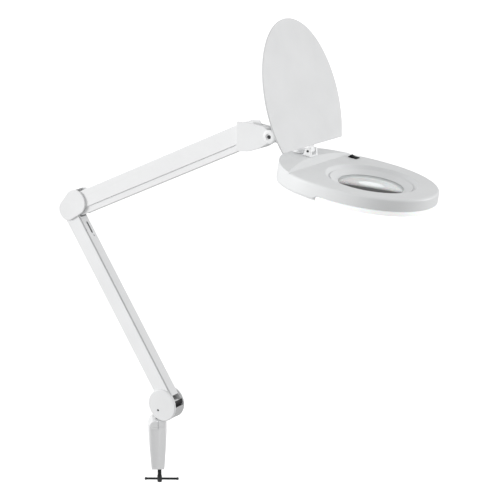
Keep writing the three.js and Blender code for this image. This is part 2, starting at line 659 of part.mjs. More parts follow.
function lens() {
  const half = LENS_RADIUS;
  const profile = [[0, -5.2]];
  const bulge = (radius) => 1.2 + 4 * (1 - (radius / half) ** 2);
  const steps = 4;
  for (let i = 1; i <= steps; i += 1) profile.push([(half * i) / steps, -bulge((half * i) / steps)]);
  for (let i = steps; i >= 0; i -= 1) profile.push([(half * i) / steps, bulge((half * i) / steps)]);
  return turned(profile).translate(0, 0, LENS_SEAT_H - 2.2);
}

function lensRetainer() {
  const under = LENS_SEAT_H - 3.8;
  const eyeTop = -FRONT_DEPTH;
  return turnedRing([
    [LENS_RADIUS - 1, eyeTop], [LENS_RADIUS + 1, eyeTop], [LENS_RADIUS + 1, under - 1.8],
    [LENS_RADIUS + 2.6, under - 1.8], [LENS_RADIUS + 2.6, under], [LENS_RADIUS - 2.5, under],
    [LENS_RADIUS - 2.5, under - 1.8], [LENS_RADIUS - 1, under - 1.8],
  ]);
}

function ledBoard() {
  const height = LENS_SEAT_H - 2;
  const board = cut(
    planBlock(7, height, height + 1.6, REAR_START + 8),
    drumZ(LENS_RADIUS + 17, height - 1, height + 3, 0, 0, FINE),
  );
  const count = 22;
  const leds = [];
  for (let i = 0; i < count; i += 1) {
    const turn = radians(-112 + (224 * i) / (count - 1));
    const led = block(-1.8, 1.8, -1.8, 1.8, height - 1, height + 0.4);
    const radius = LENS_RADIUS + 23;
    leds.push(led.translate(radius * Math.cos(turn), radius * Math.sin(turn), 0));
  }
  return join(board, ...leds);
}

function driverBoard() {
  const board = block(-151, -92, -34, 34, -22, -20.4);
  const components = [
    block(-136, -114, -10, 12, -20.5, -10), block(-108, -96, -28, -14, -20.5, -12),
    drumZ(5, -20.5, -9, -141, 20, 12), drumZ(4, -20.5, -10, -142, -20, 12),
  ];
  return join(board, ...components);
}

function rockerFrame() {
  return cut(
    join(block(-9.2, 9.2, -7.5, 7.5, 0.3, 1.6), block(-7.9, 7.9, -6.2, 6.2, -10, 1)),
    block(-6.9, 6.9, -5.2, 5.2, -8.4, 3),
  ).translate(...SWITCH, 0);
}

function rocker() {
  const side = polygon([[-6.3, -2], [6.3, -2], [6.5, 1.8], [0, 3.2], [-6.5, 4.4]]);
  return join(slabY(side, -4.8, 4.8), drumY(1.8, -4.8, 4.8, 0, -1.6)).translate(...SWITCH, 0);
}

function neck() {
  const knuckle = [-215.5, 25.7];
  const bridge = [-188, 22];
  const foot = [SWIVEL_X, 15.5];
  const half = 9;
  const parts = [
    drumY(10.6, -11.6, 11.6, ...knuckle, 24),
    slabY(belt([...knuckle, 9.5], [...bridge, 8]), -half, half, 0, 6),
    slabY(belt([...bridge, 8], [foot[0], foot[1] + 1, 6]), -half, half, 0, 6),
    drumZ(11, HUMP_HEIGHT - 0.4, HUMP_HEIGHT + 8, SWIVEL_X, 0, 24),
    drumZ(5.2, -12, HUMP_HEIGHT + 5, SWIVEL_X),
  ];
  return cut(join(...parts), drumY(3.3, -20, 20, ...knuckle));
}

function lidPlate() {
  const shape = new THREE.Shape();
  const start = LID_EDGE_X;
  const halfLength = 154;
  const halfWidth = LID_HALF_WIDTH;
  const centre = start + LID_LENGTH - halfLength;
  const edgeAngle = Math.acos((start - centre) / halfLength);
  shape.absellipse(centre, 0, halfLength, halfWidth, -edgeAngle, edgeAngle, false, 0);
  shape.closePath();
  return slabZ(shape, LID_UNDER, LID_UNDER + LID_THICKNESS, 0.8, 22);
}

function lidArm() {
  const top = LID_UNDER + LID_THICKNESS + GAP;
  const side = roundedPolygon([
    [1, top], [LID_EDGE_X + 16, top], [LID_EDGE_X + 16, top + 2.4], [LID_EDGE_X + 2, top + 3.6],
    [3.6, 3.6], [-3.6, 3.6], [-4.2, -2.6],
  ], 1.2);
  return cut(
    join(slabY(side, -6.5, 6.5, 0, 2), drumY(4.6, -6.5, 6.5, 0, 0, 20)),
    drumY(2.3, -8, 8, 0, 0),
  );
}

function hingeSeat() {
  const [x, z] = LID_AXIS;
  const low = HUMP_HEIGHT + 0.4;
  const ear = roundedPolygon([[x - 9, low], [x + 8, low], [x + 5, z + 5], [x - 5, z + 5]], 3);
  const foot = block(x - 9, x + 8, -13, 13, low, HUMP_HEIGHT + 3);
  return cut(
    join(foot, slabY(ear, -13, -7.2, 0, 3), slabY(ear, 7.2, 13, 0, 3)),
    drumY(2.3, -20, 20, x, z),
  );
}

function makeHead() {
  put(head, 'head_top_shell', headTopShell(), whitePlastic);
  put(head, 'head_rear_cover', rearCover(), whitePlastic);
  put(head, 'diffuser', diffuser(), opalPlastic);
  put(head, 'lens', lens(), clearGlass);
  put(head, 'lens_retainer', lensRetainer(), whitePlastic);
  put(head, 'led_board', ledBoard(), boardGreen);
  put(head, 'driver_board', driverBoard(), boardGreen);
  put(head, 'rocker_frame', rockerFrame(), blackPlastic);
  put(head, 'rocker', rocker(), blackPlastic);
  put(head, 'neck', neck(), whitePlastic);
  put(head, 'neck_nut', cut(
    drumZ(8.5, -11.6, -6.4, SWIVEL_X, 0, 6), drumZ(5.6, -20, 0, SWIVEL_X),
  ), satinMetal);
  put(head, 'lid_hinge_seat', hingeSeat(), whitePlastic);
  put(head, 'lid_hinge_pin', drumY(2, -14.5, 14.5, ...LID_AXIS), darkSteel);
  const lid = childGroup(head, ...LID_AXIS, LID_OPEN);
  put(lid, 'lid', lidPlate(), greyPaint);
  put(lid, 'lid_arm', lidArm(), whitePlastic);
}

makeClamp();
makeBase();
makeArm('lower', LOWER);
makeArm('upper', UPPER);
makeElbow();
makeWrist();
makeHead();

export default lamp;
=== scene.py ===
# A clamp-on magnifying lamp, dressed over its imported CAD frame. Lengths inside the modelling
# functions are millimetres; every finished mesh is put into the frame in metres.
import json
import math

import bmesh
import bpy
from mathutils import Matrix, Vector


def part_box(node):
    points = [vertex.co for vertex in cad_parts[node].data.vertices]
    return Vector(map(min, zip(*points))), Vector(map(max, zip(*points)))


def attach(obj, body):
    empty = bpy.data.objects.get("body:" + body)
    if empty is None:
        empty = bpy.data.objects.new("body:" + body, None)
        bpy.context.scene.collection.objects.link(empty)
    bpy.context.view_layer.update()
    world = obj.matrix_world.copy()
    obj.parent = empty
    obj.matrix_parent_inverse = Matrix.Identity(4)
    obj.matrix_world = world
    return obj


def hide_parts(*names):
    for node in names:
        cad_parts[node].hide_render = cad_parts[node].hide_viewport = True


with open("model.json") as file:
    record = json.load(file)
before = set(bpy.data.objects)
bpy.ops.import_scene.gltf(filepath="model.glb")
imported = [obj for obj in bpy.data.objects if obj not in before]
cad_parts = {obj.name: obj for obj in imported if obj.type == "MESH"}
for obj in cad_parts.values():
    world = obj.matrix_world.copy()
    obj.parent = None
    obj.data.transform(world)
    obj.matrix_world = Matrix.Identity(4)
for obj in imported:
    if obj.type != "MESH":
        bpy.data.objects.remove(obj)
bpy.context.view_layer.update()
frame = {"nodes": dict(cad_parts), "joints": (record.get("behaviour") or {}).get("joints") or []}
scene = bpy.context.scene
MM = 0.001

# ---- places taken from the frame ----------------------------------------------------------
JOINTS = {joint["name"]: joint for joint in frame["joints"]}


def joint_place(name):
    return Vector(JOINTS[name]["pos_m"])


def axes_at(origin, x_axis, y_axis):
    """A matrix from millimetres in a local frame to metres in the shared frame."""
    z_axis = x_axis.cross(y_axis)
    turn = Matrix((x_axis, y_axis, z_axis)).transposed().to_4x4()
    return Matrix.Translation(origin) @ turn @ Matrix.Scale(MM, 4)


HINGE = -Vector(JOINTS["lower_arm_tilt"]["axis"]).normalized()  # the hinge axes, away from the viewer
AHEAD = HINGE.cross(Vector((0, 0, 1))).normalized()  # in the plane of the arms, towards the head
covers = [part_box("base_cover_front"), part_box("base_cover_rear")]
DISC = sum((low + high for low, high in covers), Vector()) / 4
CLAMP = Matrix.Scale(MM, 4)
BASE = axes_at(DISC, AHEAD, HINGE)
HEAD_UP = Vector(JOINTS["head_swivel"]["axis"]).normalized()
HEAD_AHEAD = HINGE.cross(HEAD_UP).normalized()


def in_base(point):
    """A point of the shared frame as x and z in the plane of the arms, in millimetres."""
    local = BASE.inverted() @ Vector(point)
    return local.x, local.z


LOWER_PIVOT = in_base(joint_place("lower_arm_tilt"))
LOWER_LINK = in_base(joint_place("lower_link_tilt"))
ELBOW_LOW = in_base(joint_place("elbow_level"))
UPPER_PIVOT = in_base(joint_place("upper_arm_tilt"))
UPPER_LINK = in_base(joint_place("upper_link_tilt"))
WRIST_PIN = in_base(joint_place("wrist_level"))
TILT_AXIS = in_base(joint_place("head_tilt"))
ARM_LENGTH = math.dist(LOWER_PIVOT, ELBOW_LOW)


def across(far, near, near_link):
    """The far pivot of a link bar: it stands off the arm's far pivot as the near ones do."""
    return far[0] + near_link[0] - near[0], far[1] + near_link[1] - near[1]


ELBOW_LOW_LINK = across(ELBOW_LOW, LOWER_PIVOT, LOWER_LINK)
WRIST_LINK = across(WRIST_PIN, UPPER_PIVOT, UPPER_LINK)


def arm_axes(near, far, start):
    """The local frame of an arm bar: +X from its near pivot to its far one, the web side up."""
    angle = math.atan2(far[1] - near[1], far[0] - near[0])
    along = AHEAD * math.cos(angle) + Vector((0, 0, 1)) * math.sin(angle)
    origin = BASE @ Vector((start[0], 0, start[1]))
    return axes_at(origin, along, HINGE)


SWIVEL_X = -160.0  # head swivel axis behind the lens centre
HEAD = axes_at(joint_place("head_swivel") - HEAD_AHEAD * SWIVEL_X * MM, HEAD_AHEAD, HINGE)
LID_OPEN = 113.9
lid_ahead = HEAD_AHEAD * math.cos(math.radians(LID_OPEN)) + HEAD_UP * math.sin(math.radians(LID_OPEN))
LID = axes_at(joint_place("lid_hinge"), lid_ahead, HINGE)
LID_AXIS = HEAD.inverted() @ joint_place("lid_hinge")

# ---- driving sizes shared with the frame --------------------------------------------------
GAP = 0.3
COVER_SCREW = (-9, -12)
JAW_TOP, CLAMP_BOTTOM, CLAMP_FRONT, CLAMP_DEPTH, CLAMP_X = 22.0, -85.0, -20.0, 58.0, -7.1
CLAMP_WIDTH_TOP, CLAMP_WIDTH_BOTTOM, SPINE, LOWER_JAW, PAD = 39.0, 26.0, 9.0, 12.0, 2.0
SCREW_X, SCREW_Y, SCREW_TOP, SCREW_END = -4.0, 14.0, -22.0, -125.0
SCREW_RADIUS, SCREW_BOSS_RADIUS, THREAD_PITCH = 4.2, 4.9, 2
HANDLE_Z, HANDLE_LENGTH, HANDLE_RADIUS, SPIGOT_RADIUS = -118.0, 72.0, 2.4, 6.0
HANDLE_TURN, HANDLE_OFFSET = -5.0, 4.4
DISC_X, DISC_Z, DISC_RADIUS, COVER_INNER, COVER_OUTER = 15.3, 57.0, 33.6, 14.0, 17.8
ARM_WIDTH, ARM_WALL, LINK_WIDTH, LINK_WALL, TONGUE = 27.0, 1.5, 22.6, 1.4, 18.0
PIN_RADIUS, LINK_PIN_RADIUS, WEB_START = 3.0, 2.5, 13.0
LOWER = {
    "above": 11.0, "below": 22.5, "link_above": 6.0, "link_below": 8.0, "end": 22.5, "web_start": WEB_START,
}
UPPER = {
    "above": 13.0, "below": 21.5, "link_above": 9.0, "link_below": 9.0, "end": 21.5, "web_start": -3.0,
}
ARM_LUG, LINK_LUG = 9.0, 5.5  # lugs of the castings round the arm pins and the link pins
TILT_BOSS_RADIUS = 13.2
HEAD_MID_X, HEAD_FRONT, HEAD_REAR, HEAD_HALF_WIDTH, HEAD_REAR_POWER = -25.0, 151.0, 150.0, 128.0, 2.4
SHELL_WALL, FRONT_DEPTH, REAR_DEPTH, REAR_START, EYE_CLEARANCE = 2.6, 22.7, 28.0, -42.0, 69.0
DIFFUSER_DEPTH = 9.6
HUMP_FRONT, HUMP_SLOPE, HUMP_HEIGHT, HUMP_CROWN = -110.0, 16.0, 8.5, 820.0
LENS_RADIUS, LENS_SEAT = 62.5, -12.0
LID_EDGE_X, LID_LENGTH, LID_HALF_WIDTH, LID_UNDER, LID_THICKNESS = 8.9, 238.0, 128.0, -7.55, 3.0
SWITCH_X, SWITCH_Y = -91.0, 94.0
ELBOW_LOBES = ((-234.0, 382.0, 21.8), (-213.0, 400.5, 26.4))
WRIST_CORE_X, REAR_DROP = 225.0, 4
WRIST_OUTLINE = (
    (184, 546), (212, 548.5), (236, 556.5), (253, 567), (262, 573), (262, 586), (246, 599), (222, 602.5),
    (184, 604),
)
DECK_EDGE = ((0, -4.6), (0.25, -3.3), (0.9, -2.1), (1.9, -1.1), (3.2, -0.4), (4.6, 0))  # margin, height
FUNNEL_PROFILE = (  # radius, height, from the deck down to the glass seat and back under the deck
    (88, 0), (86.5, -0.15), (85.2, -0.6), (84.2, -1.5), (83, -3), (79.5, -6.0), (78.4, -7.8), (77.2, -7.8),
    (76.8, -5.9), (76.2, -5.5), (75, -5.9), (70, -8.8), (65, -10.8), (62.4, -11.9), (60.6, -12.3),
    (60.6, -12.6), (63.2, -12.6), (63.2, -15), (66, -15), (66, -12.6), (79, -9.6), (86, -4.1),
)
NECK_HOLE, HINGE_HOLE = 5.6, 2.3

# ---- solid modelling ----------------------------------------------------------------------


def mesh_object(vertices, faces):
    mesh = bpy.data.meshes.new("part")
    mesh.from_pydata([tuple(v) for v in vertices], [], faces)
    mesh.validate()
    obj = bpy.data.objects.new("part", mesh)
    scene.collection.objects.link(obj)
    return obj


def evaluated(obj):
    """Applies an object's modifiers to its own mesh."""
    bpy.context.view_layer.update()
    graph = bpy.context.evaluated_depsgraph_get()
    mesh = bpy.data.meshes.new_from_object(obj.evaluated_get(graph))
    obj.modifiers.clear()
    obj.data = mesh
    return obj


def combined(first, others, operation):
    for other in others:
        step = first.modifiers.new("step", "BOOLEAN")
        step.operation = operation
        step.solver = "EXACT"
        step.object = other
    evaluated(first)
    for other in others:
        bpy.data.objects.remove(other)
    return first


def join(first, *others):
    return combined(first, others, "UNION")


def cut(first, *others):
    return combined(first, others, "DIFFERENCE")


def common(first, *others):
    return combined(first, others, "INTERSECT")


def loft(rings, closed_ends=True):
    """A skin over rings of equal point counts, capped at both ends."""
    count = len(rings[0])
    vertices = [point for ring in rings for point in ring]
    faces = []
    for k in range(len(rings) - 1):
        for i in range(count):
            j = (i + 1) % count
            faces.append((k * count + i, k * count + j, (k + 1) * count + j, (k + 1) * count + i))
    if closed_ends:
        faces.append(tuple(reversed(range(count))))
        last = (len(rings) - 1) * count
        faces.append(tuple(last + i for i in range(count)))
    return outward(mesh_object(vertices, faces))


def outward(obj):
    """Turns every face of a closed mesh outwards."""
    bm = bmesh.new()
    bm.from_mesh(obj.data)
    bmesh.ops.remove_doubles(bm, verts=bm.verts, dist=1e-4)
    bmesh.ops.recalc_face_normals(bm, faces=bm.faces)
    bm.to_mesh(obj.data)
    bm.free()
    return obj


def inset(outline, amount):
    """An outline moved inwards by an amount, corner by corner. The outline runs against the clock."""
    if amount == 0:
        return list(outline)
    moved = []
    count = len(outline)
    for i in range(count):
        before, here, after = Vector(outline[i - 1]), Vector(outline[i]), Vector(outline[(i + 1) % count])
        first = (here - before).normalized()
        second = (after - here).normalized()
        normal = Vector((-(first.y + second.y), first.x + second.x))
        normal.normalize()
        reach = amount / max(0.35, abs(normal.dot(Vector((-first.y, first.x)))))
        moved.append(tuple(here + normal * reach))
    return moved


def counter_clockwise(outline):
    area = sum(a[0] * b[1] - b[0] * a[1] for a, b in zip(outline, outline[1:] + outline[:1]))
    return outline if area > 0 else outline[::-1]


def slab(outline, low, high, edge, place):
    """A prism over an outline, with both rims rounded over by edge. place maps u, v, w to a point."""
    outline = counter_clockwise([tuple(p) for p in outline])
    steps = 4
    levels = [(edge, low)] if edge == 0 else []
    if edge > 0:
        for k in range(steps + 1):
            turn = math.pi / 2 * k / steps
            levels.append((edge * (1 - math.sin(turn)), low + edge * (1 - math.cos(turn))))
    levels += [(margin, high - (level - low)) for margin, level in reversed(levels)]
    rings = [[place(u, v, level) for u, v in inset(outline, margin)] for margin, level in levels]
    return loft(rings)


def slab_y(outline, low, high, edge=0.0):
    return slab(outline, low, high, edge, lambda u, v, w: (u, w, v))


def slab_z(outline, low, high, edge=0.0):
    return slab(outline, low, high, edge, lambda u, v, w: (u, v, w))


def slab_x(outline, low, high, edge=0.0):
    return slab(outline, low, high, edge, lambda u, v, w: (w, u, v))


def arc(x, y, radius, start, end, steps):
    """Points on a round stretch, angles in radians."""
    turns = [start + (end - start) * i / steps for i in range(steps + 1)]
    return [(x + radius * math.cos(turn), y + radius * math.sin(turn)) for turn in turns]


def circle(x, y, radius, steps=64):
    return arc(x, y, radius, 0, 2 * math.pi, steps)[:-1]


def belt(a, b, steps=40):
    """The outline of a belt run around two circles, each given as x, y, radius."""
    along = math.atan2(b[1] - a[1], b[0] - a[0])
    lean = math.acos((a[2] - b[2]) / math.dist(a[:2], b[:2]))
    return (
        arc(b[0], b[1], b[2], along - lean, along + lean, steps)
        + arc(a[0], a[1], a[2], along + lean, along - lean + 2 * math.pi, steps)
    )


def rounded(points, radius, steps=6):
    """A polygon with its corners rounded. radius is shared, or one for each corner."""
    outline = []
    count = len(points)
    for i, point in enumerate(points):
        size = radius[i] if isinstance(radius, (tuple, list)) else radius
        corner = Vector(point)
        before = corner + (Vector(points[i - 1]) - corner).normalized() * size
        after = corner + (Vector(points[(i + 1) % count]) - corner).normalized() * size
        for k in range(steps + 1):
            t = k / steps
            outline.append(tuple(before * (1 - t) ** 2 + corner * 2 * t * (1 - t) + after * t * t))
    return outline


def drum_y(radius, low, high, x=0.0, z=0.0, edge=0.0, steps=48):
    return slab_y(circle(x, z, radius, steps), low, high, edge)


def drum_z(radius, low, high, x=0.0, y=0.0, edge=0.0, steps=48):
    return slab_z(circle(x, y, radius, steps), low, high, edge)


def drum_x(radius, low, high, y=0.0, z=0.0, edge=0.0, steps=48):
    return slab_x(circle(y, z, radius, steps), low, high, edge)


def block(x0, x1, y0, y1, z0, z1, edge=0.0):
    return slab_z([(x0, y0), (x1, y0), (x1, y1), (x0, y1)], z0, z1, edge)


def turned(profile, steps=96, closed=False):
    """A turned form about Z from pairs of radius and height; a closed profile makes a ring."""
    rings = []
    for i in range(steps):
        angle = 2 * math.pi * i / steps
        c, s = math.cos(angle), math.sin(angle)
        rings.append([(radius * c, radius * s, height) for radius, height in profile])
    count = len(profile)
    vertices = [point for ring in rings for point in ring]
    faces = []
    for k in range(steps):
        after = (k + 1) % steps
        for i in range(count if closed else count - 1):
            j = (i + 1) % count
            faces.append((k * count + i, after * count + i, after * count + j, k * count + j))
    return outward(mesh_object(vertices, faces))


def moved(obj, x=0.0, y=0.0, z=0.0):
    obj.data.transform(Matrix.Translation((x, y, z)))
    return obj


def turned_about(obj, axis, degrees):
    obj.data.transform(Matrix.Rotation(math.radians(degrees), 4, axis))
    return obj


def mirrored(obj):
    """The same form on the other side of the plane of the arms."""
    obj.data.transform(Matrix.Scale(-1, 4, (0, 1, 0)))
    obj.data.flip_normals()
    return obj


def both_sides(form):
    """A form for the front and its mirror image for the rear, each with the name of its side."""
    return (("front", form()), ("rear", mirrored(form())))


def tube(path, radius, sides=8):
    """A wire of round section along a list of points."""
    rings = []
    side = Vector((0, 0, 1))
    for i, point in enumerate(path):
        ahead = (Vector(path[min(i + 1, len(path) - 1)]) - Vector(path[max(i - 1, 0)])).normalized()
        side = (side - ahead * side.dot(ahead)).normalized()
        up = ahead.cross(side)
        turns = [2 * math.pi * k / sides for k in range(sides)]
        rings.append([Vector(point) + (side * math.cos(t) + up * math.sin(t)) * radius for t in turns])
    return loft(rings)


def soften_edges(obj, width, segments=2, angle=32):
    """Rounds every sharp edge of a finished form by a small width."""
    step = obj.modifiers.new("soften", "BEVEL")
    step.width = width
    step.segments = segments
    step.limit_method = "ANGLE"
    step.angle_limit = math.radians(angle)
    step.use_clamp_overlap = True
    step.harden_normals = False
    return evaluated(obj)


def shade(obj, angle=34):
    """Smooth faces that keep their large flats flat, and edges sharper than angle kept crisp."""
    bm = bmesh.new()
    bm.from_mesh(obj.data)
    for face in bm.faces:
        face.smooth = True
    for edge in bm.edges:
        if len(edge.link_faces) == 2:
            edge.smooth = edge.calc_face_angle(0) < math.radians(angle)
    bm.to_mesh(obj.data)
    bm.free()
    flat = obj.modifiers.new("flat_faces", "WEIGHTED_NORMAL")
    flat.keep_sharp = True
    return evaluated(obj)


def piece(name, obj, place, body, material, nodes=(), soften=0.0):
    """Puts a finished form into the frame, gives it its looks and ties it to its body."""
    if soften:
        soften_edges(obj, soften)
    obj.data.transform(place)
    obj.name = name
    obj.data.name = name
    obj.data.materials.clear()
    obj.data.materials.append(material)
    shade(obj)
    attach(obj, body)
    if nodes:
        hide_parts(*nodes)
    return obj


# ---- materials ----------------------------------------------------------------------------


def new_material(name):
    material = bpy.data.materials.new(name)
    material.use_nodes = True
    nodes = material.node_tree.nodes
    shader = nodes["Principled BSDF"]
    return material, nodes, material.node_tree.links, shader


def noise(nodes, links, scale, detail=4.0):
    """A noise field in the object's own space."""
    place = nodes.new("ShaderNodeTexCoord")
    field = nodes.new("ShaderNodeTexNoise")
    field.inputs["Scale"].default_value = scale
    field.inputs["Detail"].default_value = detail
    links.new(place.outputs["Object"], field.inputs["Vector"])
    return field.outputs["Fac"]


def ranged(nodes, links, field, low, high):
    spread = nodes.new("ShaderNodeMapRange")
    spread.inputs["From Min"].default_value = 0.3
    spread.inputs["From Max"].default_value = 0.7
    spread.inputs["To Min"].default_value = low
    spread.inputs["To Max"].default_value = high
    links.new(field, spread.inputs["Value"])
    return spread.outputs["Result"]


def mixed_colour(nodes, links, field, first, second):
    mix = nodes.new("ShaderNodeMix")
    mix.data_type = "RGBA"
    mix.inputs["A"].default_value = (*first, 1)
    mix.inputs["B"].default_value = (*second, 1)
    links.new(field, mix.inputs["Factor"])
    return mix.outputs["Result"]


def edges(nodes, links, strength):
    """How worn a spot is: nothing on flat faces, up to the given strength on broken-up edges."""
    geometry = nodes.new("ShaderNodeNewGeometry")
    sharp = nodes.new("ShaderNodeMapRange")
    sharp.inputs["From Min"].default_value = 0.52
    sharp.inputs["From Max"].default_value = 0.62
    links.new(geometry.outputs["Pointiness"], sharp.inputs["Value"])
    patches = ranged(nodes, links, noise(nodes, links, 90.0, 3.0), 0.2, strength)
    worn = nodes.new("ShaderNodeMath")
    worn.operation = "MULTIPLY"
    links.new(sharp.outputs["Result"], worn.inputs[0])
    links.new(patches, worn.inputs[1])
    return worn.outputs["Value"]


def fine_bump(nodes, links, shader, depth, field):
    bump = nodes.new("ShaderNodeBump")
    bump.inputs["Strength"].default_value = depth
    bump.inputs["Distance"].default_value = 0.0002
    links.new(field, bump.inputs["Height"])
    links.new(bump.outputs["Normal"], shader.inputs["Normal"])


def surface(
    name, colour, roughness, grain, depth, metallic=0.0, mottle=0.02, sheen=0.3, coat=0.0, bare=None,
):
    """A moulded, painted or machined surface: mottled colour, worn edges, uneven gloss, a fine bump."""
    material, nodes, links, shader = new_material(name)
    shade_of = tuple(max(0.0, c * (1 - mottle * 2)) for c in colour)
    bare = bare or tuple(min(1.0, c * 0.9 + 0.05) for c in colour)
    cloud = ranged(nodes, links, noise(nodes, links, 14.0, 5.0), 0.0, 1.0)
    ground = mixed_colour(nodes, links, cloud, shade_of, colour)
    finish = nodes.new("ShaderNodeMix")
    finish.data_type = "RGBA"
    links.new(edges(nodes, links, 0.7), finish.inputs["Factor"])
    links.new(ground, finish.inputs["A"])
    finish.inputs["B"].default_value = (*bare, 1)
    links.new(finish.outputs["Result"], shader.inputs["Base Color"])
    smear = ranged(nodes, links, noise(nodes, links, 45.0, 3.0), roughness * 0.86, roughness * 1.14)
    links.new(smear, shader.inputs["Roughness"])
    shader.inputs["Metallic"].default_value = metallic
    shader.inputs["Specular IOR Level"].default_value = sheen
    shader.inputs["Coat Weight"].default_value = coat
    shader.inputs["Coat Roughness"].default_value = 0.18
    fine_bump(nodes, links, shader, depth, noise(nodes, links, grain, 3.0))
    return material


def glass_material():
    material, nodes, links, shader = new_material("lens_glass")
    shader.inputs["Base Color"].default_value = (0.93, 0.96, 0.96, 1)
    shader.inputs["Transmission Weight"].default_value = 1.0
    shader.inputs["IOR"].default_value = 1.52
    links.new(ranged(nodes, links, noise(nodes, links, 30.0), 0.0, 0.02), shader.inputs["Roughness"])
    return material


def opal_material():
    material, nodes, links, shader = new_material("opal_diffuser")
    cloud = noise(nodes, links, 60.0, 2.0)
    milky = mixed_colour(nodes, links, cloud, (0.90, 0.90, 0.89), (0.95, 0.95, 0.94))
    links.new(milky, shader.inputs["Base Color"])
    links.new(ranged(nodes, links, noise(nodes, links, 300.0), 0.5, 0.62), shader.inputs["Roughness"])
    shader.inputs["Emission Color"].default_value = (1, 1, 1, 1)
    shader.inputs["Emission Strength"].default_value = 0.28
    shader.inputs["Subsurface Weight"].default_value = 0.35
    shader.inputs["Subsurface Scale"].default_value = 0.004
    fine_bump(nodes, links, shader, 0.12, noise(nodes, links, 1400.0, 2.0))
    return material


WHITE_PAINT = surface("white_powder_coat", (0.88, 0.885, 0.89), 0.42, 1500.0, 0.14, coat=0.03)
WHITE_PLASTIC = surface("white_moulded_plastic", (0.87, 0.875, 0.88), 0.42, 2200.0, 0.10)
SHELL_PLASTIC = surface("shell_moulded_plastic", (0.835, 0.84, 0.845), 0.4, 2300.0, 0.09)
HEAD_PLASTIC = surface("head_moulded_plastic", (0.80, 0.81, 0.815), 0.36, 2400.0, 0.08)
LID_PLASTIC = surface("lid_moulded_plastic", (0.71, 0.715, 0.72), 0.5, 1800.0, 0.16)
# a darker copy of the white powder coat for the lower link: painted shade, as the link itself is white like
# the channels
SHADED_LINK_PAINT = surface("link_powder_coat_painted_shade", (0.74, 0.745, 0.75), 0.46, 1500.0, 0.14, coat=0.02)
GREY_PAINT = surface("grey_powder_coat", (0.93, 0.935, 0.94), 0.4, 1300.0, 0.2, coat=0.05)
SATIN_METAL = surface("satin_cast_metal", (0.78, 0.785, 0.79), 0.26, 900.0, 0.2, metallic=0.9)
DARK_STEEL = surface(
    "blackened_steel", (0.035, 0.036, 0.038), 0.34, 800.0, 0.25, metallic=0.6, mottle=0.15,
    bare=(0.3, 0.3, 0.31),
)
BLACK_PLASTIC = surface(
    "black_moulded_plastic", (0.008, 0.008, 0.009), 0.5, 1800.0, 0.2, mottle=0.1, sheen=0.15,
    bare=(0.03, 0.03, 0.03),
)
BLACK_RUBBER = surface("black_rubber", (0.02, 0.02, 0.02), 0.8, 1200.0, 0.5, mottle=0.15)
SPRING_STEEL = surface("spring_steel", (0.45, 0.45, 0.46), 0.3, 700.0, 0.2, metallic=1.0)
BOARD = surface("circuit_board", (0.03, 0.16, 0.08), 0.45, 500.0, 0.3, mottle=0.2)
LENS_GLASS = glass_material()
OPAL = opal_material()


# ---- clamp --------------------------------------------------------------------------------


def clamp_bracket():
    """A C-shaped casting: its side view, its tapered front view and its rounded plan in common."""
    jaw_under = PAD + GAP
    back = CLAMP_FRONT + CLAMP_DEPTH
    throat = CLAMP_FRONT + SPINE
    lower_top = CLAMP_BOTTOM + LOWER_JAW
    side = rounded([
        (CLAMP_FRONT, CLAMP_BOTTOM), (back - 12, CLAMP_BOTTOM), (back - 12, lower_top),
        (throat, lower_top), (throat, jaw_under), (back, jaw_under), (back, JAW_TOP - 6),
        (back - 22, JAW_TOP), (CLAMP_FRONT, JAW_TOP),
    ], 3)
    top = CLAMP_WIDTH_TOP / 2
    low = CLAMP_WIDTH_BOTTOM / 2
    front = slab_y(rounded([
        (-low, CLAMP_BOTTOM), (low, CLAMP_BOTTOM), (top, 0), (top, JAW_TOP - 6), (top - 1, JAW_TOP),
        (-top + 9, JAW_TOP), (-top, JAW_TOP - 15), (-top, 0),
    ], (3, 3, 3, 2.5, 2.5, 8, 3.5, 3), 10), CLAMP_FRONT - 1, back + 1)
    wide = top + 0.05
    corners = [(-wide, CLAMP_FRONT), (wide, CLAMP_FRONT), (wide, back), (-wide, back)]
    plan = slab_z(rounded(corners, (6, 6, 14, 14), 10), CLAMP_BOTTOM - 1, JAW_TOP + 1)
    body = moved(common(slab_x(side, -wide - 1, wide + 1), front, plan), x=CLAMP_X)
    hollow = rounded([(-10.9, -80), (2.6, -80), (5.5, 4), (-12.5, 4)], 2)
    recess = slab_y(hollow, CLAMP_FRONT - 1, CLAMP_FRONT + 1.3)
    return cut(
        body,
        drum_z(SPIGOT_RADIUS + 3.3, 5, JAW_TOP + 1),
        drum_z(SCREW_RADIUS + 0.5, CLAMP_BOTTOM - 1, lower_top + 1, SCREW_X, SCREW_Y),
        moved(block(1.2, 2.2, CLAMP_FRONT - 1, CLAMP_FRONT + 3, 5, JAW_TOP + 1), x=CLAMP_X),
        block(-top - 10, top + 10, CLAMP_FRONT - 1, CLAMP_FRONT + 0.7, 8.2, 9.0),
        moved(recess, x=CLAMP_X),
    )


def threaded_shank():
    """The clamp screw: a boss for the handle, a rolled thread and a plain tip."""
    boss = SCREW_BOSS_RADIUS
    root = SCREW_RADIUS - 0.8
    profile = [
        (0, SCREW_END), (boss - 1.2, SCREW_END), (boss - 0.3, SCREW_END + 0.5), (boss, SCREW_END + 1.4),
        (boss, HANDLE_Z + 7), (SCREW_RADIUS, HANDLE_Z + 8),
    ]
    height = HANDLE_Z + 9
    while height < SCREW_TOP - 2:
        profile += [
            (SCREW_RADIUS, height), (SCREW_RADIUS, height + 0.5), (root, height + 1), (root, height + 1.4),
        ]
        height += THREAD_PITCH
    tip = SCREW_TOP + 5
    profile += [(SCREW_RADIUS, SCREW_TOP - 0.8), (3, SCREW_TOP + 1.2), (3, tip), (0, tip)]
    hole = turned_about(drum_x(HANDLE_RADIUS + 0.4, -9, 9, 0, HANDLE_Z), "Z", HANDLE_TURN)
    return moved(cut(turned(profile, 48), hole), x=SCREW_X, y=SCREW_Y)


